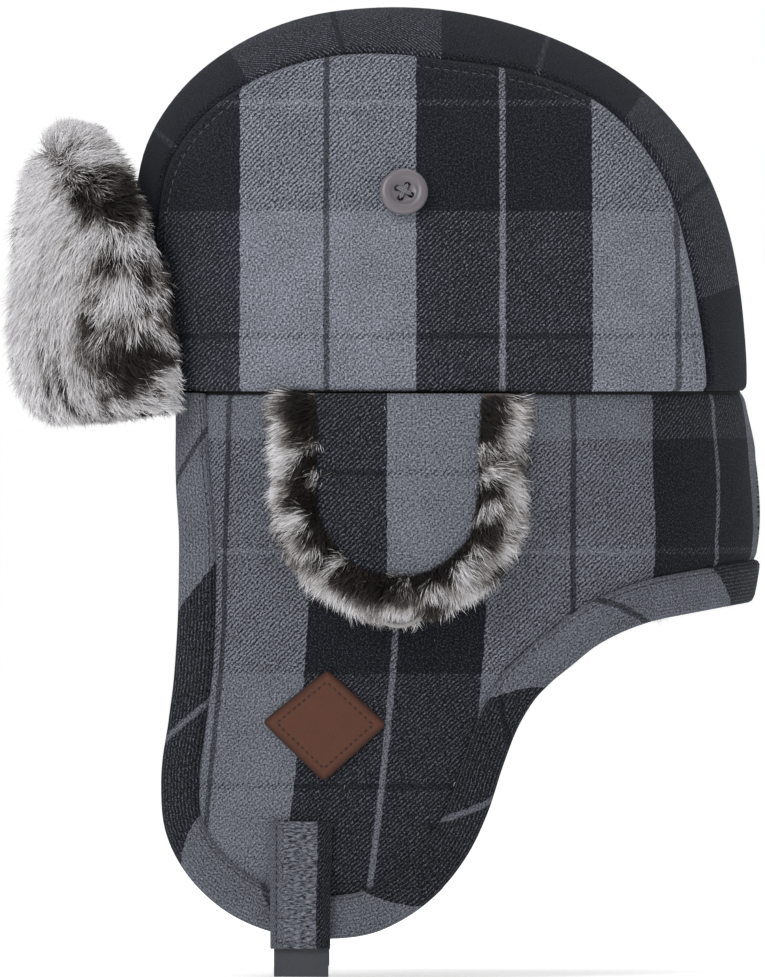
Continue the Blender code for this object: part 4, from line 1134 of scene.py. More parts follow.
@dataclass
class Button:
    """A four-hole coat button with a dished face, sewn on with a cross of thread."""

    side: Side
    centre: tuple = (85.7316 * MM, -13.3 * MM, 70.6 * MM)
    normal: tuple = (0.9523, -0.01735, 0.30469)
    radius: float = 8.7 * MM
    low: float = 2.3 * MM
    high: float = 5.5 * MM
    hole: float = 1.15 * MM
    spread: float = 1.944 * MM
    turn: float = 18.0

    def place(self) -> Matrix:
        """Where the button sits, with local Z out of the wool."""
        n = Vector((self.normal[0] * self.side.value, self.normal[1], self.normal[2]))
        p = Vector((self.centre[0] * self.side.value, self.centre[1], self.centre[2]))
        turned = n.to_track_quat("Z", "Y").to_matrix().to_4x4()
        return Matrix.Translation(p) @ turned @ Matrix.Rotation(math.radians(self.turn), 4, "Z")

    def disc(self) -> bmesh.types.BMesh:
        """Spins the button's section round its middle and bores its four holes."""
        r, t = self.radius, self.high - self.low
        section = (
            (0.02 * r, self.low), (0.5 * r, self.low), (0.80 * r, self.low + 0.03 * t), (0.94 * r, self.low + 0.16 * t),
            (r, self.low + 0.40 * t), (0.985 * r, self.low + 0.66 * t), (0.93 * r, self.low + 0.86 * t),
            (0.85 * r, self.low + 0.97 * t), (0.76 * r, self.high), (0.66 * r, self.low + 0.97 * t),
            (0.58 * r, self.low + 0.86 * t),
            (0.525 * r, self.low + 0.70 * t), (0.48 * r, self.low + 0.62 * t), (0.3 * r, self.low + 0.59 * t),
            (0.02 * r, self.low + 0.58 * t),
        )
        bm = bmesh.new()
        verts = [bm.verts.new((x, 0, z)) for x, z in section]
        edges = [bm.edges.new(pair) for pair in zip(verts, verts[1:])]
        bmesh.ops.spin(bm, geom=verts + edges, cent=(0, 0, 0), axis=(0, 0, 1), angle=2 * math.pi, steps=72,
                       use_merge=True)
        bmesh.ops.remove_doubles(bm, verts=bm.verts, dist=1e-6)
        bmesh.ops.holes_fill(bm, edges=[e for e in bm.edges if e.is_boundary], sides=0)
        bmesh.ops.recalc_face_normals(bm, faces=bm.faces)
        bmesh.ops.transform(bm, matrix=self.place(), verts=bm.verts)
        return bm

    def make(self) -> None:
        """Makes the button and its thread."""
        place = self.place()
        button = finished(self.disc(), f"{self.side.word}_coat_button", PLASTIC, "crown")
        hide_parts(f"{self.side.word}_button")
        bores = bmesh.new()
        spots = [(x * self.spread, y * self.spread) for x in (-1, 1) for y in (-1, 1)]
        for x, y in spots:
            bmesh.ops.create_cone(bores, cap_ends=True, segments=24, radius1=self.hole, radius2=self.hole,
                                  depth=14 * MM, matrix=place @ Matrix.Translation((x, y, self.low)))
        mesh = bpy.data.meshes.new("bores")
        bores.to_mesh(mesh)
        bores.free()
        tool = bpy.data.objects.new("bores", mesh)
        bpy.context.scene.collection.objects.link(tool)
        cut = button.modifiers.new("holes", "BOOLEAN")
        cut.operation, cut.solver, cut.object = "DIFFERENCE", "EXACT", tool
        bpy.context.view_layer.update()
        done = bpy.data.meshes.new_from_object(button.evaluated_get(bpy.context.evaluated_depsgraph_get()))
        button.modifiers.clear()
        button.data = done
        bpy.data.objects.remove(tool)
        parts = []
        top = self.low + 0.62 * (self.high - self.low) + 0.75 * MM
        bottom = self.low - 0.6 * MM
        strand = 0.30 * MM
        for n, (a, b) in enumerate(((0, 3), (1, 2))):
            for shift in (-0.36 * MM, 0.36 * MM):
                (x0, y0), (x1, y1) = spots[a], spots[b]
                way = unit(np.array([x1 - x0, y1 - y0]))
                sx, sy = -way[1] * shift, way[0] * shift
                lift = n * 0.32 * MM
                path = [(x0 * 0.4, y0 * 0.4, bottom), (x0, y0, bottom), (x0, y0, self.low + 1.2 * MM),
                        (x0, y0, top - 0.2 * MM), (x0 * 0.8 + sx, y0 * 0.8 + sy, top + lift), 
                        (sx, sy, top + lift + 0.12 * MM), (x1 * 0.8 + sx, y1 * 0.8 + sy, top + lift),
                        (x1, y1, top - 0.2 * MM), (x1, y1, self.low + 1.2 * MM),
                        (x1, y1, bottom), (x1 * 0.4, y1 * 0.4, bottom)]
                parts.append(tube_along(np.array([place @ Vector(p) for p in path]), strand, 8))
        shank = [place @ Vector((0, 0, z)) for z in (0.4 * MM, 1.0 * MM, 1.7 * MM)]
        parts.append(tube_along(np.array(shank), 1.3 * MM, 14))
        thread = finished(joined(parts), f"{self.side.word}_sewing_thread", PALE_THREAD, "crown")
        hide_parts(f"{self.side.word}_button_thread")


# ---------------------------------------------------------------- visor

@dataclass
class Visor:
    """The turned-up visor: wool at the back, a stiffener, and a thick fur facing."""

    half_width: float = 64 * MM
    bottom: float = 3 * MM
    height: float = 88 * MM
    stand: float = 4 * MM
    lean: float = 6 * MM
    drop: float = 0.27
    wool: float = 1.8 * MM
    strands: int = 38000

    def point(self, u: Array, v: Array, off: Array) -> Array:
        """A point of the visor: u across from -1 to 1, v up from 0 to 1, off forward of its back."""
        x = u * self.half_width * (1 - 0.14 * np.maximum(v, 0.0) ** 3)
        z = self.bottom + self.height * v * (1 - self.drop * np.abs(u) ** 4)
        half, length = 98 * MM, 115 * MM
        share = np.minimum(np.abs(x) / half, 0.98)
        p = CROWN.power
        y = -length * (1 - share**p) ** (1 / p)
        slope = length * share ** (p - 1) * (1 - share**p) ** (1 / p - 1) / half
        n = unit(np.stack([np.copysign(slope, x), -np.ones_like(x), 0 * x], axis=-1))
        at = np.stack([x, y - self.stand - self.lean * z / self.height, z], axis=-1)
        return at + n * np.asarray(off)[..., None]

    def back(self, depth: float, short: float = 0.0) -> Place:
        """Gives points of a layer depth forward of the back, short of its edge."""
        def place(u: Array, v: Array) -> Array:
            return self.point((2 * u - 1) * (1 - short), short + v * (1 - 2 * short), np.full(u.shape, depth))
        return place

    def puff(self, u: Array, v: Array) -> Array:
        """The fur facing's body: domed, with its edges rolled round to the visor's back."""
        s = 2 * u - 1
        across = np.sin(0.5 * math.pi * s)
        round_side = np.cos(0.5 * math.pi * s) ** 0.62
        up = 0.5 - 0.5 * np.cos(math.pi * v)
        round_up = np.sin(math.pi * v) ** np.where(v < 0.5, 0.34, 0.52)
        fall = 1 - 0.34 * np.clip(up - 0.12, 0, 1)
        off = 1.0 * MM + 33.5 * MM * fall * round_side * round_up
        p = self.point(across * 1.06, -0.145 + 1.165 * up, off)
        lump = noise_at(p, 26 * MM, 3)
        n = unit(p - np.array([0, -0.085, 0.03]))
        return p + n * (1.1 * MM * lump * round_side)[:, None]

    def silver(self, p: Array) -> Array:
        """How silver the fur is at each root: frosted at the front, with dark patches at the sides and low down, and
        darker streaks at the flanks' back as painted shade where the fur lies against the crown.
        """
        y, z, side = p[:, 1], p[:, 2], np.abs(p[:, 0])
        def patch(cy: float, cz: float, ry: float, rz: float, lean: float = 0.0) -> Array:
            dy, dz = y - cy * MM, z - cz * MM
            dy, dz = dy + lean * dz, dz
            rough = 0.28 * noise_at(p, 7 * MM, 21) + 0.30 * noise_at(p, 3.5 * MM, 22)
            return np.clip(1.35 - np.hypot(dy / (ry * MM), dz / (rz * MM)) + rough, 0, 1)
        flank = ramp(side, 34 * MM, 50 * MM)
        dark = 1.00 * patch(-119, 71, 10, 11, 0.25) * flank
        dark = np.maximum(dark, 1.0 * patch(-113, 14, 15, 14, -0.3) * flank)
        dark = np.maximum(dark, 0.6 * patch(-101, 45, 6, 9) * flank)
        dark = np.maximum(dark, 0.35 * patch(-124, 44, 9, 6) * flank)
        streaks = np.clip(noise_at(p * np.array([1.0, 1.0, 0.4]), 6 * MM, 31) - 0.1, 0, 1)
        low = ramp(-z, -26 * MM, 0.0)
        # At the flanks the streaks darken towards the back as painted shade where the fur lies against the crown.
        dark = np.maximum(dark, streaks * (0.30 + 0.55 * low + 0.60 * flank * ramp(y, -0.140, -0.118)))
        mid = np.clip(noise_at(p, 17 * MM, 12) - 0.35, 0, 1) * 0.8
        mid = mid * ramp(-side, -34 * MM, -10 * MM) * ramp(z, 0.0, 0.03)
        return np.clip(0.97 - np.maximum(dark, mid), 0.03, 1.0)

    def tall(self, p: Array) -> Array:
        """How high each point stands, as if the top edge were level."""
        return p[:, 2] / (1 - self.drop * np.minimum(np.abs(p[:, 0]) / self.half_width, 1.0) ** 4)

    def combed(self, p: Array, out: Array) -> Array:
        """The way the fur is combed: down, spreading low down and at the sides."""
        way = np.tile(np.array([0.0, -0.05, -1.0]), (len(p), 1))
        centre = np.array([0.0, -0.118, 0.030])
        spreading = unit(p - centre)
        low = ramp(-p[:, 2], -34 * MM, 2 * MM)[:, None]
        flank = ramp(np.abs(p[:, 0]), 40 * MM, 62 * MM)[:, None]
        way = way * (1 - 0.35 * low) + spreading * (0.75 * low + 0.25 * flank)
        way[:, 1] += (ramp(p[:, 1], -0.125, -0.100) * 0.85 * ramp(np.abs(p[:, 0]), 40 * MM, 60 * MM))
        top = ramp(self.tall(p), 78 * MM, 90 * MM)[:, None]
        way = way * (1 - 0.7 * top) + np.array([0.0, 0.75, 0.35]) * top
        swirl = noise_at(p, 22 * MM, 40)[:, None] * np.cross(out, way) * 0.45
        return way + swirl

    def weights(self, points: Array) -> Array:
        """How far each point follows the visor: not at its seam, wholly a finger's width from it."""
        share = np.minimum(np.abs(points[:, 0]) / (98 * MM), 0.98)
        back = -115 * MM * (1 - share**CROWN.power) ** (1 / CROWN.power) - self.stand
        return ramp(np.hypot(back - points[:, 1], points[:, 2] - self.bottom), 2 * MM, 24 * MM)

    def blended(self, obj: bpy.types.Object) -> None:
        """Works out a layer's weights between the crown and the visor and bakes its placement; the layer is not
        blended.
        """
        kept_weights(obj, ("crown", "visor"), self.weights(points_of(obj)))

    def make(self) -> None:
        """Makes the visor's layers and its fur."""
        shell = finished(warped_sheet(60, 40, self.back(0.0), lambda u, v: np.stack([u * 0.15, v * 0.088], axis=-1),
                                      outward=np.array([0, 1, 0])), "visor_wool_back", VISOR_WOOL, "")
        self.blended(shell)
        thicken(shell, self.wool)
        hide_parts("visor_shell")
        card = finished(warped_sheet(40, 24, self.back(self.wool + 0.5 * MM, 0.03), outward=np.array([0, -1, 0])),
                        "visor_card", STIFFENER, "")
        self.blended(card)
        thicken(card, -1.4 * MM)
        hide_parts("visor_stiffener")
        bm = warped_sheet(72, 60, self.puff, outward=np.array([0, -1, 0]))
        base = finished(bm, "visor_fur_backing", FUR, "")
        self.blended(base)
        silvered(base, 0.10 + 0.34 * self.silver(points_of(base)))
        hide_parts("visor_fur")
        for seed in (11, 12):
            u, v, root, out = on_surface(self.puff, self.strands, seed)
            out = turned_out(out, unit(root - np.array([0, -0.085, 0.03])))
            rng = np.random.default_rng(seed)
            edge = np.minimum(np.minimum(u, 1 - u), np.minimum(v, 1 - v))
            length = rng.uniform(8.5, 14.0, len(root)) * MM * (0.62 + 0.38 * ramp(edge, 0.0, 0.10))
            length = length * (0.75 + 0.25 * ramp(-root[:, 2], -0.09, -0.06))
            lift = rng.uniform(0.16, 0.46, len(root)) + 0.12 * ramp(-edge, -0.06, 0.0)
            lift = lift + 0.5 * np.exp(-(((self.tall(root) - 82 * MM) / (9 * MM)) ** 2))
            pile = Pile(len(root), 0.26 * MM, 3, 0.30, 1500, seed)
            fur = pile.grow(f"visor_fur_pile_{seed - 10}", root - out * 0.6 * MM, out, self.combed(root, out), length,
                            self.silver(root), lift, "")
            kept_weights(fur, ("crown", "visor"), self.weights(root))


# ---------------------------------------------------------------- skirt

class Outline:
    """The skirt's cut edge on one side: down the ear flap's front, round its lobe and along the hem to mid back.

    Points are (round, up) in metres, where round is measured along the skirt 50 mm below the seam.
    """

    flap = (
        (-94.4, -1.0), (-94.6, -18.0), (-94.2, -36.0), (-93.4, -54.0), (-93.6, -76.0), (-94.8, -99.0),
        (-97.4, -120.0), (-99.6, -139.0), (-98.4, -158.0), (-90.4, -173.5), (-75.5, -187.0), (-59.0, -193.8),
        (-40.0, -195.6), (-25.0, -193.6), (-11.5, -187.0), (0.0, -177.2), (8.8, -165.4), (15.6, -151.0),
        (21.2, -134.0), (27.4, -118.6), (33.6, -109.0), (40.0, -102.6),
    )
    hem_y = (40.0, 46.8, 54.0, 61.6, 74.2, 89.3, 104.0, 118.0)
    hem_z = (-102.6, -97.2, -91.4, -87.0, -82.0, -79.0, -76.4, -74.8)

    def __init__(self) -> None:
        """Works out the edge and how turns match distances round the skirt."""
        self.turns = np.linspace(-89, 90, 800)
        path = SKIRT.skin(self.turns, np.full(800, -50 * MM))
        length = steps_along(path)
        self.round = length - np.interp(0, self.turns, length)
        self.end = float(self.round[-1])
        flap = np.array(self.flap)
        knots = steps_along(flap)
        at = np.linspace(0, knots[-1], 260)
        flap = np.stack([SmoothTable(knots, flap[:, k])(at) for k in range(2)], axis=-1) * MM
        turn = SKIRT.turn_at(flap[:, 0], flap[:, 1])
        first = np.stack([self.to_round(turn), flap[:, 1]], axis=-1)
        turn = np.linspace(turn[-1], 90, 90)[1:]
        hem = SmoothTable(self.hem_y, self.hem_z)
        z = np.full(len(turn), -85 * MM)
        for _ in range(8):
            z = hem(SKIRT.skin(turn, z)[:, 1] / MM) * MM
        self.path = np.concatenate([first, np.stack([self.to_round(turn), z], axis=-1)])
        self.corner = int(np.argmin(np.linalg.norm(flap - np.array(self.flap[9]) * MM, axis=1)))

    def to_round(self, turn: Array) -> Array:
        """The distance round the skirt at a turn."""
        return np.interp(turn, self.turns, self.round)

    def to_turn(self, along: Array) -> Array:
        """The turn at a distance round the skirt."""
        return np.interp(along, self.round, self.turns)

    def moved(self, inset: float) -> Array:
        """The edge taken in by inset."""
        slope = np.gradient(self.path, axis=0)
        slope /= np.linalg.norm(slope, axis=1)[:, None]
        path = self.path + np.stack([-slope[:, 1], slope[:, 0]], axis=1) * inset
        path[:, 0] = np.minimum(path[:, 0], self.end)
        path[:, 1] = np.minimum(path[:, 1], -1.0 * MM)
        return path

    @staticmethod
    def along(path: Array, share: Array) -> Array:
        """The path's point at each share of its length."""
        length = steps_along(path)
        return point_at(share * length[-1], length, path)

    def inside(self, u: Array, v: Array, inset: float = 0.0) -> Array:
        """Fills the outline: u runs from front to mid back and v from the cut edge up to the seam."""
        path = self.moved(inset)
        front, bottom = path[: self.corner + 1][::-1], path[self.corner:].copy()
        bottom[-1, 0] = self.end
        w = v[:, None]
        left = self.along(front, v)
        right = np.stack([np.full(len(v), self.end), bottom[-1, 1] + (-1 * MM - bottom[-1, 1]) * v], axis=-1)
        low = self.along(bottom, u)
        high = np.stack([front[-1, 0] + (self.end - front[-1, 0]) * u, np.full(len(u), -1 * MM)], axis=-1)
        s = u[:, None]
        return (
            (1 - s) * left + s * right + (1 - w) * low + w * high
            - (1 - s) * (1 - w) * bottom[0] - s * (1 - w) * bottom[-1]
            - (1 - s) * w * high_corner(front[-1]) - s * w * np.array([self.end, -1 * MM])
        )

    def distance(self, flat: Array) -> Array:
        """How far each point is from the cut edge."""
        gaps = [np.hypot(flat[:, 0] - p[0], flat[:, 1] - p[1]) for p in self.path[::3]]
        return np.min(gaps, axis=0)

    def on_skirt(self, flat: Array, off: Array) -> Array:
        """The points on the wearer's left, off outside the skin."""
        return SKIRT.point(self.to_turn(flat[:, 0]), flat[:, 1], np.broadcast_to(off, (len(flat),)))


def high_corner(point: Array) -> Array:
    """The corner where the front edge meets the seam."""
    return np.array([point[0], -1 * MM])


EDGE = Outline()


def fold_share(points: Array) -> Array:
    """How far each point of the skirt turns with the ear flap: not at the seam or at the back, wholly on the flap."""
    return ramp(-points[:, 2], 0.5 * MM, 19 * MM) * (1 - ramp(points[:, 1], 36 * MM, 98 * MM))


@dataclass
class SkirtSide:
    """One side of the skirt, cut in one with half the neck curtain: wool, interlining, fur lining and binding."""

    side: Side
    wool: float = 1.8 * MM
    hole_y: float = -15 * MM
    hole_z: float = -35 * MM
    hole_wide: float = 18 * MM
    hole_high: float = 22 * MM
    binding: float = 14 * MM
    strands: int = 62000

    @property
    def bodies(self) -> tuple:
        """The bodies that the cloth lies over."""
        return "crown", f"{self.side.word}_ear_flap"

    def skin_off(self, flat: Array) -> Array:
        """How far the wool stands off the form: pulled in at the seam and beside the binding, soft between."""
        away = EDGE.distance(flat)
        off = -1.1 * MM * np.exp(-((flat[:, 1] / (2.4 * MM)) ** 2))
        off -= 0.7 * MM * np.exp(-(((away - self.binding) / (1.6 * MM)) ** 2))
        off -= 0.5 * MM * ramp(-away, -13 * MM, -8 * MM)
        soft = noise_at(np.stack([flat[:, 0], flat[:, 1], 0 * away], axis=-1), 38 * MM, 14 + self.side.value)
        return off + 0.7 * MM * soft * ramp(away, 12 * MM, 26 * MM) * ramp(-flat[:, 1], 4 * MM, 22 * MM)

    def layer(self, inset: float, depth: float, soft: bool = False) -> Place:
        """Gives points of a layer depth inside the skin, with its edge taken in."""
        def place(u: Array, v: Array) -> Array:
            flat = EDGE.inside(u, v, inset)
            off = (self.skin_off(flat) if soft else 0.0) - depth
            return flipped(EDGE.on_skirt(flat, off), self.side)
        return place

    def cloth(self, u: Array, v: Array) -> Array:
        """The wool's place on the uncut cloth."""
        flat = EDGE.inside(u, v, 0.7 * MM)
        laid = SKIRT.cloth(EDGE.to_turn(flat[:, 0]), flat[:, 1])
        laid[:, 0] += 10.5 * MM * np.clip((-78 * MM - flat[:, 1]) / (107 * MM), 0, 1) ** 1.3
        return laid

    def ear_share(self, points: Array) -> Array:
        """How far out each point is from the ear hole's middle, where 1 is its edge."""
        return np.hypot((points[:, 1] - self.hole_y) / self.hole_wide, (points[:, 2] - self.hole_z) / self.hole_high)

    def open_ear(self, bm: bmesh.types.BMesh, off: float) -> None:
        """Cuts the ear hole out of a layer and rounds its edge."""
        points = np.array([v.co for v in bm.verts])
        share = self.ear_share(points)
        for vert, s in zip(bm.verts, share):
            vert.tag = bool(s < 1.0)
        inside = [f for f in bm.faces if sum(v.tag for v in f.verts) >= 2 and self.ear_share(
            np.array([f.calc_center_median()]))[0] < 1.0]
        bmesh.ops.delete(bm, geom=inside, context="FACES")
        middle = np.array([self.hole_y, self.hole_z])
        for vert in bm.verts:
            if vert.is_boundary and abs(vert.co.y - middle[0]) < 24 * MM and abs(vert.co.z - middle[1]) < 28 * MM:
                way = (np.array([vert.co.y, vert.co.z]) - middle) / np.array([self.hole_wide, self.hole_high])
                y, z = middle + way / np.linalg.norm(way) * np.array([self.hole_wide, self.hole_high])
                vert.co = flipped(SKIRT.at(np.array([y]), np.array([z]), np.array([off])), self.side)[0]
        bm.normal_update()

    def blended(self, obj: bpy.types.Object) -> None:
        """Works out a layer's weights for the ear flap and bakes its placement; the layer does not bend."""
        kept_weights(obj, self.bodies, fold_share(points_of(obj)))

    def make_wool(self) -> None:
        """Makes the wool and its interlining."""
        word = self.side.word
        bm = warped_sheet(120, 96, self.layer(0.7 * MM, 0.0, True), self.cloth, (Ease.EVEN, Ease.ENDS))
        self.open_ear(bm, 0.0)
        wool = finished(bm, f"{word}_skirt_wool", SKIRT_WOOL, "")
        thicken(wool, self.wool)
        self.blended(wool)
        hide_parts(f"{word}_ear_flap_shell", f"{word}_curtain_shell")
        bm = warped_sheet(60, 44, self.layer(14 * MM, self.wool + 0.7 * MM))
        self.open_ear(bm, -self.wool - 0.7 * MM)
        inner = finished(bm, f"{word}_skirt_interlining", WADDING, "")
        thicken(inner, 1.3 * MM)
        self.blended(inner)
        names = [f"{word}_ear_flap_interlining"] + (["curtain_interlining"] if self.side is Side.LEFT else [])
        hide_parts(*names)
        around = np.linspace(0, 2 * math.pi, 60)
        y, z = self.hole_y + self.hole_wide * np.cos(around), self.hole_z + self.hole_high * np.sin(around)
        ring = flipped(SKIRT.at(y, z, np.full(60, -1.0 * MM)), self.side)
        rim = finished(tube_along(ring, 1.15 * MM, 8), f"{word}_ear_hole_rim", RIM_WOOL, "")
        self.blended(rim)

    def make_binding(self) -> None:
        """Folds the binding over the cut edge."""
        section = np.array((
            (14.2, -0.5), (14.1, 0.5), (13.5, 1.25), (12.0, 1.7), (9.0, 1.95), (5.0, 2.0), (1.8, 1.85), (-0.2, 1.35),
            (-1.2, 0.2), (-1.5, -1.3), (-1.3, -2.8), (-0.4, -3.8), (2.0, -4.2), (6.0, -4.2), (10.0, -4.0),
        )) * MM
        knots = steps_along(section)
        slope = np.gradient(EDGE.path, axis=0)
        inward = np.stack([-slope[:, 1], slope[:, 0]], axis=1) / np.linalg.norm(slope, axis=1)[:, None]
        length = steps_along(EDGE.path)

        def place(u: Array, v: Array) -> Array:
            """Points of the binding: u along the edge, v round its fold."""
            s = u * length[-1]
            flat = point_at(s, length, EDGE.path)
            way = point_at(s, length, inward)
            w, off = (np.interp(v * knots[-1], knots, section[:, k]) for k in range(2))
            flat = flat + way * w[:, None]
            flat[:, 0] = np.minimum(flat[:, 0], EDGE.end)
            flat[:, 1] = np.minimum(flat[:, 1], -1 * MM)
            pucker = 0.16 * MM * np.sin(s / (4.6 * MM)) * ramp(w, 8 * MM, 13 * MM) * (off > 0)
            soft = 0.25 * MM * noise_at(np.stack([s, 0 * s, 0 * s], axis=-1), 15 * MM, 4)
            return flipped(EDGE.on_skirt(flat, off + pucker + soft), self.side)

        def cloth(u: Array, v: Array) -> Array:
            """The binding's bias-cut strip, so that its ribs follow the edge."""
            s, w = u * length[-1], v * knots[-1]
            return np.stack([s - w, s + w], axis=-1) / math.sqrt(2)

        bm = warped_sheet(300, 26, place, cloth)
        strip = finished(bm, f"{self.side.word}_skirt_binding", BINDING_WOOL, "")
        self.blended(strip)
        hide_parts(f"{self.side.word}_ear_flap_binding", f"{self.side.word}_curtain_binding")
        u = np.linspace(0.002, 0.998, 900)
        row = place(u, np.full(900, 1.0 * MM / knots[-1] + 0.055))
        out = unit(place(u, np.full(900, 0.25)) * np.array([1.0, 1.0, 0.0]))
        sewn = finished(stitches(row, out, 2.6 * MM, 0.8 * MM, 0.22 * MM), f"{self.side.word}_binding_stitching",
                        DARK_THREAD, "")
        self.blended(sewn)

    def make_lining(self) -> None:
        """Lines the skirt with fur."""
        word, side = self.side.word, self.side.value
        bm = warped_sheet(90, 70, self.layer(1.2 * MM, 4.8 * MM))
        self.open_ear(bm, -4.8 * MM)
        backing = finished(bm, f"{word}_lining_backing", FUR, "")
        silvered(backing, 0.30 + 0.16 * noise_at(points_of(backing), 24 * MM, 50))
        thicken(backing, 1.2 * MM)
        self.blended(backing)
        names = [f"{word}_ear_flap_fur"] + (["curtain_fur"] if self.side is Side.LEFT else [])
        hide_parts(*names)
        place = self.layer(2.6 * MM, 5.6 * MM)
        def crowd(a: Array, b: Array) -> Array:
            """Closer roots where the cloth stretches as the ear flap turns up."""
            share = fold_share(place(a, b))
            return 1 + 10 * share * (1 - share)
        u, v, root, out = on_surface(place, int(self.strands * 1.08), 60 + side, crowd)
        keep = self.ear_share(root) > 1.04
        u, v, root, out = (part[keep][: self.strands] for part in (u, v, root, out))
        inwards = root * np.array([-1.0, -1.0, 0.0])
        out = turned_out(out, inwards)
        rng = np.random.default_rng(70 + side)
        edge = ramp(-np.minimum(v, u), -0.05, 0.0)
        comb = np.tile(np.array([0.0, 0.0, -1.0]), (len(root), 1))
        comb[:, 1] = np.where(root[:, 1] < 0, -0.4, 0.4) * edge
        comb = comb + 0.5 * noise_at(root, 26 * MM, 80)[:, None] * np.cross(out, comb)
        length = rng.uniform(7.5, 12.0, len(root)) * MM * (1 - 0.4 * edge)
        lift = rng.uniform(0.28, 0.60, len(root)) * (1 - 0.55 * edge)
        speck = np.clip(noise_at(root, 4 * MM, 82), 0, 1)
        tone = np.clip(0.80 + 0.12 * noise_at(root, 15 * MM, 81) - 0.18 * speck, 0.15, 1)
        pile = Pile(len(root), 0.42 * MM, 2, 0.45, 1200, 90 + side)
        fur = pile.grow(f"{word}_lining_pile", root, out, comb, length, tone, lift, "")
        kept_weights(fur, self.bodies, fold_share(root))

    def make(self) -> None:
        """Makes the whole side."""
        self.make_wool()
        self.make_binding()
        self.make_lining()


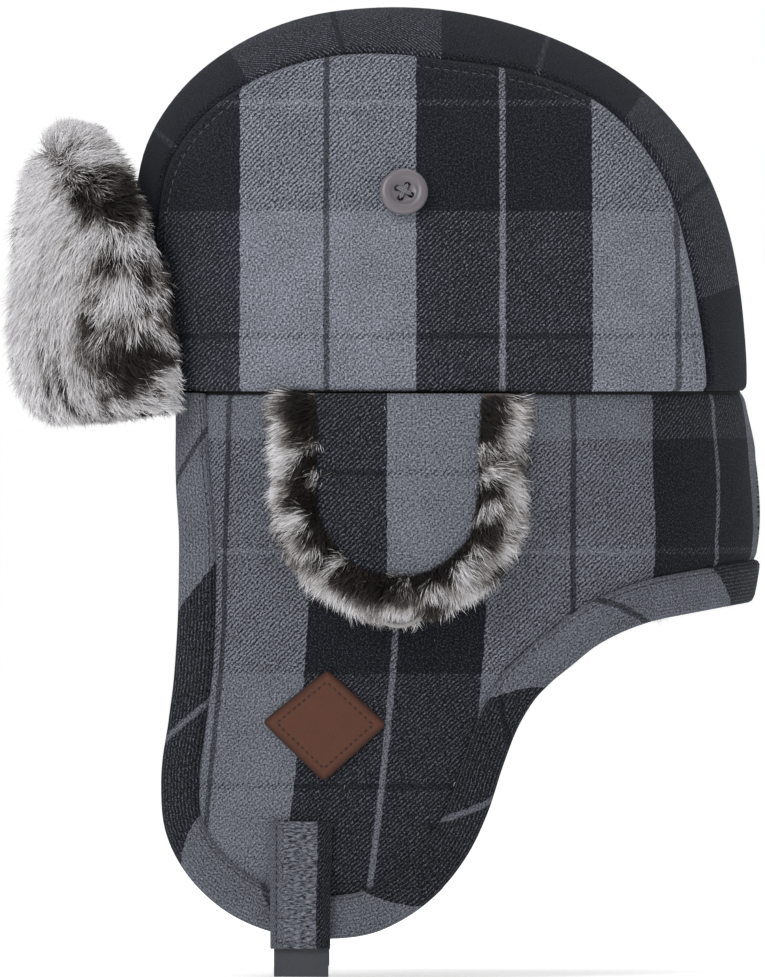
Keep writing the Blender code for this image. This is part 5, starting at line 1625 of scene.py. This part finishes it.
@dataclass
class PortFlap:
    """The ear-port flap: a wool patch over a fur facing that stands out round it, and an elastic loop."""

    side: Side
    middle: float = -15 * MM
    half: float = 30.5 * MM
    long: float = 68 * MM
    reach: float = 12 * MM
    top: float = 1.6 * MM
    inner: float = 4 * MM
    strands: int = 37500

    @property
    def bodies(self) -> tuple:
        """The bodies that the flap's top lies over."""
        return f"{self.side.word}_ear_flap", f"{self.side.word}_port_flap"

    def flat(self, u: Array, w: Array) -> tuple:
        """(y, z) of a point w out from the flap's spine, and the way out there; u runs down the front side, round the
        bottom and up the back side."""
        straight = self.long - self.half
        arc = math.pi * self.half
        s = u * (2 * straight + arc)
        angle = math.pi + np.clip((s - straight) / self.half, 0, math.pi)
        drop = (straight - 1 * MM) / straight
        rising = -1 * MM - (2 * straight + arc - s) * drop
        z0 = np.where(s < straight, -1 * MM - s * drop, np.where(s > straight + arc, rising, -straight))
        way = np.stack([np.cos(angle), np.sin(angle)], axis=-1)
        return np.stack([self.middle + way[:, 0] * w, z0 + way[:, 1] * w], axis=-1), way

    def hang(self, z: Array) -> Array:
        """How full the flap is at a height: thin at the seam."""
        return np.clip((-1 * MM - z) / (26 * MM), 0, 1)

    def on(self, flat: Array, off: Array) -> Array:
        """The points off outside the ear flap."""
        z = np.minimum(flat[:, 1], -1 * MM)
        return flipped(SKIRT.at(flat[:, 0], z, off), self.side)

    def patch(self, u: Array, v: Array) -> Array:
        """Points of the wool patch: v from spine to edge."""
        w = v * self.half
        flat, _ = self.flat(u, w)
        off = 0.4 * MM + self.top + (self.inner - self.top) * self.hang(flat[:, 1]) + 2.1 * MM
        off = off + 1.5 * MM * (1 - v**2) * self.hang(flat[:, 1]) - 2.2 * MM * ramp(v, 0.93, 1.0)
        off = off - 0.9 * MM * np.exp(-((flat[:, 1] / (3 * MM)) ** 2))
        return self.on(flat, off)

    def patch_cloth(self, u: Array, v: Array) -> Array:
        """The patch's place on the uncut cloth."""
        return self.flat(u, v * self.half)[0]

    def roll(self, u: Array, v: Array) -> Array:
        """Points of the fur facing's rolled edge: v from under the wool out to the rim."""
        w = self.half - 3.5 * MM + (self.reach + 2.5 * MM) * v
        flat, _ = self.flat(u, w)
        full = 0.35 + 0.65 * self.hang(flat[:, 1])
        lump = 1 + 0.16 * noise_at(np.stack([flat[:, 0], flat[:, 1], 0 * w], axis=-1), 13 * MM, 33)
        off = 0.8 * MM + 7.4 * MM * np.sin(math.pi * (0.12 + 0.88 * v)) ** 0.75 * full * lump
        return self.on(flat, off)

    def under(self, u: Array, v: Array) -> Array:
        """Points of the facing's underside: v from spine to rim."""
        flat, _ = self.flat(u, v * (self.half + self.reach - 1.5 * MM))
        return self.on(flat, np.full(len(u), 1.4 * MM))

    def weights(self, points: Array) -> Array:
        """How far each point follows the port flap: not at the seam, wholly 10 mm below it."""
        return ramp(-points[:, 2], 0.5 * MM, 10 * MM)

    def silver(self, p: Array, u: Array, v: Array) -> Array:
        """How silver the fur is: frosted along the rim, dark beside the wool and at the seam."""
        streak = noise_at(p, 6 * MM, 61)
        dark = 0.95 * ramp(-v, -0.70, -0.22) * ramp(streak, -1.2, 0.5)
        dark = np.maximum(dark, 0.95 * ramp(p[:, 2], -0.020, -0.004) * ramp(-v, -0.75, -0.25))
        dark = np.maximum(dark, 0.8 * np.clip(noise_at(p, 10 * MM, 62) * 1.5 - 0.55, 0, 1))
        back = ramp(p[:, 1], 0.008, 0.022)
        dark = np.maximum(dark, 0.55 * back * np.clip(noise_at(p, 8 * MM, 63) * 1.4, 0, 1))
        dark = np.maximum(dark, 0.5 * np.clip(noise_at(p, 3.5 * MM, 64) * 1.2, 0, 1))
        return np.clip(0.90 - 1.05 * dark, 0.05, 1)

    def make_wool(self) -> None:
        """Makes the wool patch with its rolled edge."""
        word = self.side.word
        bm = warped_sheet(90, 30, self.patch, self.patch_cloth, (Ease.EVEN, Ease.ENDS))
        bmesh.ops.remove_doubles(bm, verts=bm.verts, dist=0.02 * MM)
        wool = finished(bm, f"{word}_port_flap_wool", PORT_WOOL, "")
        thicken(wool, 1.6 * MM)
        kept_weights(wool, self.bodies, self.weights(points_of(wool)))
        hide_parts(f"{word}_port_flap_shell")

    def make_fur(self) -> None:
        """Makes the facing and its fur, thick round the wool and short underneath."""
        word, side = self.side.word, self.side.value
        roll = warped_sheet(110, 16, self.roll)
        under = warped_sheet(110, 16, self.under)
        bmesh.ops.reverse_faces(under, faces=under.faces)
        whole = joined([roll, under])
        bmesh.ops.remove_doubles(whole, verts=whole.verts, dist=0.02 * MM)
        backing = finished(whole, f"{word}_port_flap_facing", FUR, "")
        points = points_of(backing)
        silvered(backing, 0.28 + 0.1 * noise_at(points, 12 * MM, 3))
        kept_weights(backing, self.bodies, self.weights(points))
        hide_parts(f"{word}_port_flap_fur")
        rng = np.random.default_rng(40 + side)
        u, v, root, out = on_surface(self.roll, self.strands, 41 + side)
        away = root * np.array([1.0, 1.0, 0.0])
        out = turned_out(out, away)
        way = self.flat(u, np.full(len(u), self.half))[1]
        comb = np.stack([0 * u, way[:, 0], way[:, 1] - 0.55], axis=-1)
        swirl = noise_at(root, 12 * MM, 44)[:, None] * np.cross(out, comb) * 0.5
        length = rng.uniform(7.5, 12.5, len(root)) * MM * (0.7 + 0.3 * ramp(v, 0.0, 0.4))
        lift = rng.uniform(0.12, 0.46, len(root)) * (0.6 + 0.4 * ramp(v, 0.1, 0.5))
        pile = Pile(len(root), 0.26 * MM, 3, 0.32, 700, 45 + side)
        fur = pile.grow(f"{word}_port_flap_pile", root - out * 0.4 * MM, out, comb + swirl, length,
                        self.silver(root, u, v), lift, "")
        kept_weights(fur, self.bodies, self.weights(root))
        u, v, root, out = on_surface(self.under, 16000, 51 + side)
        away = root * np.array([-1.0, -1.0, 0.0])
        out = turned_out(out, away)
        comb = np.tile(np.array([0.0, 0.0, -1.0]), (len(root), 1))
        tone = np.clip(0.75 + 0.15 * noise_at(root, 12 * MM, 55), 0.1, 1)
        pile = Pile(len(root), 0.45 * MM, 2, 0.4, 300, 56 + side)
        fur = pile.grow(f"{word}_port_flap_under_pile", root, out, comb, rng.uniform(5, 8, len(root)) * MM, tone,
                        rng.uniform(0.04, 0.12, len(root)), "")
        kept_weights(fur, self.bodies, self.weights(root))

    def make_loop(self) -> None:
        """Makes the elastic loop that goes over the button."""
        half, start, centre = 9.9 * MM, -69.2 * MM, -73.6 * MM
        turn = np.linspace(math.pi, 2 * math.pi, 25)
        y = np.concatenate([[-half * 0.86, -half * 0.93], half * np.cos(turn), [half * 0.93, half * 0.86]])
        z = np.concatenate([[start, start - 2.2 * MM], centre + half * np.sin(turn), [start - 2.2 * MM, start]])
        z = np.minimum(z, start)
        path = flipped(SKIRT.at(self.middle + y, z, np.full(len(y), 5.6 * MM)), self.side)
        loop = finished(tube_along(path, 0.9 * MM, 10), f"{self.side.word}_elastic_loop", ELASTIC,
                        f"{self.side.word}_port_flap")
        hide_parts(f"{self.side.word}_port_flap_loop")

    def make(self) -> None:
        """Makes the whole flap."""
        self.make_wool()
        self.make_fur()
        self.make_loop()


# ---------------------------------------------------------------- strap and patch

@dataclass
class ChinStrap:
    """A chin strap: one doubled strip of wool sewn to the ear flap, with its closure tape at the end."""

    side: Side
    start: tuple = (81.64453 * MM, -50.44807 * MM, -173 * MM)
    across: tuple = (0.186697, 0.982418, 0.0)
    out: tuple = (0.982418, -0.186697, 0.0)
    width: float = 22 * MM
    thickness: float = 2.4 * MM
    top: float = -154.5 * MM
    fold: float = -173 * MM
    end: float = -200.5 * MM

    def spine(self, z: Array, w: Array, off: Array) -> Array:
        """A point of the strap: w across its middle and off out of its middle plane."""
        lie = SKIRT.at(-50 * MM + w, z, 1.75 * MM + 0 * z)
        free = np.array(self.start) + np.multiply.outer(w, np.array(self.across)) + np.array(self.out) * 1.2 * MM
        free[:, 2] = z
        share = ramp(-z, 0.166, 0.182)[:, None]
        return lie * (1 - share) + free * share + np.array(self.out) * np.asarray(off)[:, None]

    def body(self, top: float, end: float, wide: float, thick: float, shift: float) -> Place:
        """Gives points of a flat strip with rounded edges: u round its section, v along it."""
        def place(u: Array, v: Array) -> Array:
            turn = 2 * math.pi * u
            ends = np.minimum(v, 1 - v) * (top - end)
            close = np.sqrt(np.clip(1 - (1 - np.clip(ends / (0.5 * thick), 0, 1)) ** 2, 0.0, 1))
            w = np.copysign(np.abs(np.sin(turn)) ** 0.35, np.sin(turn)) * 0.5 * wide * (0.985 + 0.015 * close)
            off = np.copysign(np.abs(np.cos(turn)) ** 0.8, np.cos(turn)) * 0.5 * thick * np.maximum(close, 0.25)
            z = top + (end - top) * v
            seam = 0.22 * MM * np.exp(-(((np.abs(w) - (0.5 * wide - 2.4 * MM)) / (0.7 * MM)) ** 2))
            off = off - np.sign(off) * np.minimum(seam, 0.4 * np.abs(off)) + shift
            return flipped(self.spine(z, w, off), self.side)
        return place

    def close_ends(self, bm: bmesh.types.BMesh) -> bmesh.types.BMesh:
        """Closes the strip's two ends."""
        bmesh.ops.holes_fill(bm, edges=[e for e in bm.edges if e.is_boundary], sides=0)
        bmesh.ops.recalc_face_normals(bm, faces=bm.faces)
        return bm

    def sewing(self) -> bmesh.types.BMesh:
        """The strap's rows of stitches: down both edges, a crossed box at its top and a box at its end."""
        rows = []
        high, low = self.top - 2.6 * MM, self.fold + 2.0 * MM
        edge = 0.5 * self.width - 2.4 * MM
        for w in (-edge, edge):
            rows.append(((w, self.top - 1 * MM), (w, self.end + 1.6 * MM)))
        box = edge - 1.2 * MM
        for z in (high, low):
            rows.append(((-box, z), (box, z)))
        rows += [((-box, high), (box, low)), ((-box, low), (box, high))]
        for z in (self.end + 2.2 * MM, self.end + 11 * MM):
            rows.append(((-edge, z), (edge, z)))
        sewn = []
        for (w0, z0), (w1, z1) in rows:
            t = np.linspace(0, 1, 60)
            w, z = w0 + (w1 - w0) * t, z0 + (z1 - z0) * t
            row = flipped(self.spine(z, w, np.full(60, 0.5 * self.thickness - 0.12 * MM)), self.side)
            n = flipped(np.tile(np.array(self.out), (60, 1)), self.side)
            sewn.append(stitches(row, n, 2.1 * MM, 0.6 * MM, 0.22 * MM))
        return joined(sewn)

    def make(self) -> None:
        """Makes the strap, its sewing and its tape."""
        word = self.side.word
        bodies = (f"{word}_ear_flap", f"{word}_strap")
        def cloth(u: Array, v: Array) -> Array:
            """The strap's place on its uncut cloth."""
            across = -50 * MM + 11 * MM * np.sin(2 * math.pi * u)
            return np.stack([across, self.top + (self.end - self.top) * v], axis=-1)
        bm = warped_sheet(40, 70, self.body(self.top, self.end, self.width, self.thickness, 0.0), cloth,
                          (Ease.EVEN, Ease.ENDS), ring=True)
        strap = finished(self.close_ends(bm), f"{word}_strap", STRAP_WOOL, "")
        kept_weights(strap, bodies, ramp(-points_of(strap)[:, 2], 0.1705, 0.1765))
        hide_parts(f"{word}_strap_base", f"{word}_chin_strap")
        sewn = finished(self.sewing(), f"{word}_strap_stitching", DARK_THREAD, "")
        kept_weights(sewn, bodies, ramp(-points_of(sewn)[:, 2], 0.1705, 0.1765))
        kind = "hook" if self.side is Side.LEFT else "loop"
        bm = warped_sheet(32, 30, self.body(-198.0 * MM, -210.6 * MM, 20 * MM, 1.2 * MM, -1.75 * MM), None,
                          (Ease.EVEN, Ease.ENDS), ring=True)
        tape = finished(self.close_ends(bm), f"{word}_{kind}_tape", TAPE, f"{word}_strap")
        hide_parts(f"{word}_strap_{kind}_tape")
        rng = np.random.default_rng(7)
        gw, gz = np.meshgrid(np.linspace(-8.6, 8.6, 15) * MM, np.linspace(-199.2, -209.6, 9) * MM)
        root = flipped(self.spine(gz.ravel(), gw.ravel(), np.full(gw.size, -2.30 * MM)), self.side)
        n = flipped(np.tile(-np.array(self.out), (len(root), 1)), self.side)
        comb = np.tile(np.array([0.0, 0.0, 1.0]), (len(root), 1))
        nap = Pile(len(root), 0.5 * MM, 2, 0.0, 10, 8).grow(
            f"{word}_{kind}_tape_nap", root, n, comb, np.full(len(root), 1.0 * MM), np.zeros(len(root)),
            rng.uniform(0.7, 0.9, len(root)), f"{word}_strap")


@dataclass
class LeatherPatch:
    """A plain square of leather, sewn on cornerwise through a row of stitches."""

    corners: tuple = ((-40.7, -99.7), (-19.1, -119.5), (-42.1, -140.4), (-64.1, -118.8))
    thickness: float = 1.4 * MM
    rows: float = 3.4 * MM

    def flat(self, u: Array, v: Array) -> Array:
        """(y, z) on the ear flap, with the corners a little rounded."""
        c = np.array(self.corners) * MM
        s, t = 2 * u - 1, 2 * v - 1
        pull = 1 - 0.035 * np.clip(np.abs(s * t), 0, 1) ** 12
        s, t = s * pull, t * pull
        a, b = ((1 + s) / 2)[:, None], ((1 + t) / 2)[:, None]
        return (1 - b) * ((1 - a) * c[0] + a * c[1]) + b * ((1 - a) * c[3] + a * c[2])

    def place(self, u: Array, v: Array) -> Array:
        """Points of the patch's face: slightly domed, with rolled edges and a pressed line under its stitches."""
        flat = self.flat(u, v)
        near = np.minimum(np.minimum(u, 1 - u), np.minimum(v, 1 - v)) * 29 * MM
        off = 0.3 * MM + self.thickness - 0.55 * MM * (1 - ramp(near, 0.0, 0.8 * MM))
        off = off - 0.22 * MM * np.exp(-(((near - self.rows) / (0.6 * MM)) ** 2))
        return SKIRT.at(flat[:, 0], flat[:, 1], off)

    def make(self) -> None:
        """Makes the patch and its stitches."""
        bm = warped_sheet(64, 64, self.place, None, (Ease.ENDS, Ease.ENDS))
        patch = finished(bm, "plain_leather_patch", LEATHER, "left_ear_flap")
        thicken(patch, self.thickness - 0.2 * MM)
        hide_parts("leather_patch")
        share = self.rows / (29 * MM)
        sewn = []
        t = np.linspace(share, 1 - share, 60)
        low, high = 0 * t + share, 0 * t + 1 - share
        for u, v in ((t, low), (high, t), (t[::-1], high), (low, t[::-1])):
            row = self.place(u, v)
            flat = self.flat(u, v)
            lifted = SKIRT.at(flat[:, 0], flat[:, 1], np.full(60, 5 * MM))
            n = unit(lifted - SKIRT.at(flat[:, 0], flat[:, 1], np.zeros(60)))
            sewn.append(stitches(row + n * 0.06 * MM, n, 1.5 * MM, 0.8 * MM, 0.26 * MM))
        finished(joined(sewn), "leather_patch_stitching", DARK_THREAD, "left_ear_flap")


# ---------------------------------------------------------------- studio

@dataclass
class Studio:
    """A plain pale floor, soft lights and the camera at the wearer's left."""

    floor: float = -211.4 * MM
    lens: float = 1000.0
    distance: float = 9.84
    elevation: float = 0.4
    aim: tuple = (0.0, -21.1 * MM, -35.5 * MM)

    def area(self, name: str, at: tuple, size: float, power: float, colour: tuple = (1, 1, 1)) -> None:
        """Adds a square soft light that faces the hat."""
        light = bpy.data.lights.new(name, "AREA")
        light.size, light.energy, light.color = size, power, colour
        obj = bpy.data.objects.new(name, light)
        obj.location = at
        obj.rotation_euler = (Vector(self.aim) - Vector(at)).to_track_quat("-Z", "Y").to_euler()
        bpy.context.scene.collection.objects.link(obj)

    def make(self) -> None:
        """Makes the floor, the lights, the surroundings and the camera."""
        bm = bmesh.new()
        bmesh.ops.create_grid(bm, x_segments=4, y_segments=4, size=40.0)
        bmesh.ops.translate(bm, verts=bm.verts, vec=(0, 0, self.floor))
        mesh = bpy.data.meshes.new("floor")
        bm.to_mesh(mesh)
        bm.free()
        finish = PlainFinish("pale_floor", (0.90, 0.90, 0.90, 1), 0.02, 40.0, rough=0.8, bump_depth=0.0)
        mesh.materials.append(finish.material())
        paint = mesh.materials[0].node_tree.nodes["Principled BSDF"]
        paint.inputs["Emission Color"].default_value = (1, 1, 1, 1)
        paint.inputs["Emission Strength"].default_value = 0.5
        floor = bpy.data.objects.new("floor", mesh)
        bpy.context.scene.collection.objects.link(floor)
        scene = bpy.context.scene
        world = scene.world or bpy.data.worlds.new("surroundings")
        scene.world = world
        world.use_nodes = True
        g = Graph(world.node_tree)
        seen = g.add("LightPath").outputs["Is Camera Ray"]
        strength = g.sum("MULTIPLY_ADD", seen, 0.45, 0.55)
        back = world.node_tree.nodes["Background"]
        back.inputs[0].default_value = (1, 1, 1, 1)
        world.node_tree.links.new(strength, back.inputs[1])
        self.area("key_light", (1.6, -1.3, 1.6), 1.1, 33.0)
        self.area("fill_light", (1.5, 1.4, 0.5), 1.4, 2.0)
        self.area("top_light", (-0.2, 0.2, 2.0), 1.6, 12.0)
        scene.view_settings.view_transform = "Standard"
        camera = bpy.data.cameras.new("camera")
        camera.lens, camera.sensor_width = self.lens, 36.0
        camera.clip_start, camera.clip_end = 0.05, 120.0
        seat = bpy.data.objects.new("camera", camera)
        e = math.radians(self.elevation)
        seat.location = Vector(self.aim) + Vector((math.cos(e), 0, math.sin(e))) * self.distance
        seat.rotation_euler = (Vector(self.aim) - seat.location).to_track_quat("-Z", "Y").to_euler()
        scene.collection.objects.link(seat)
        scene.camera = seat


def main() -> None:
    """Builds the studio and every piece of the hat."""
    logging.basicConfig(level=logging.INFO, format="%(name)s %(message)s")
    Studio().make()
    pieces = [Crown(), Visor(), LeatherPatch()]
    for side in Side:
        pieces += [SkirtSide(side), PortFlap(side), ChinStrap(side)]
    for piece in pieces:
        piece.make()
        LOG.info("made %s", piece)


if __name__ == "__main__":
    main()
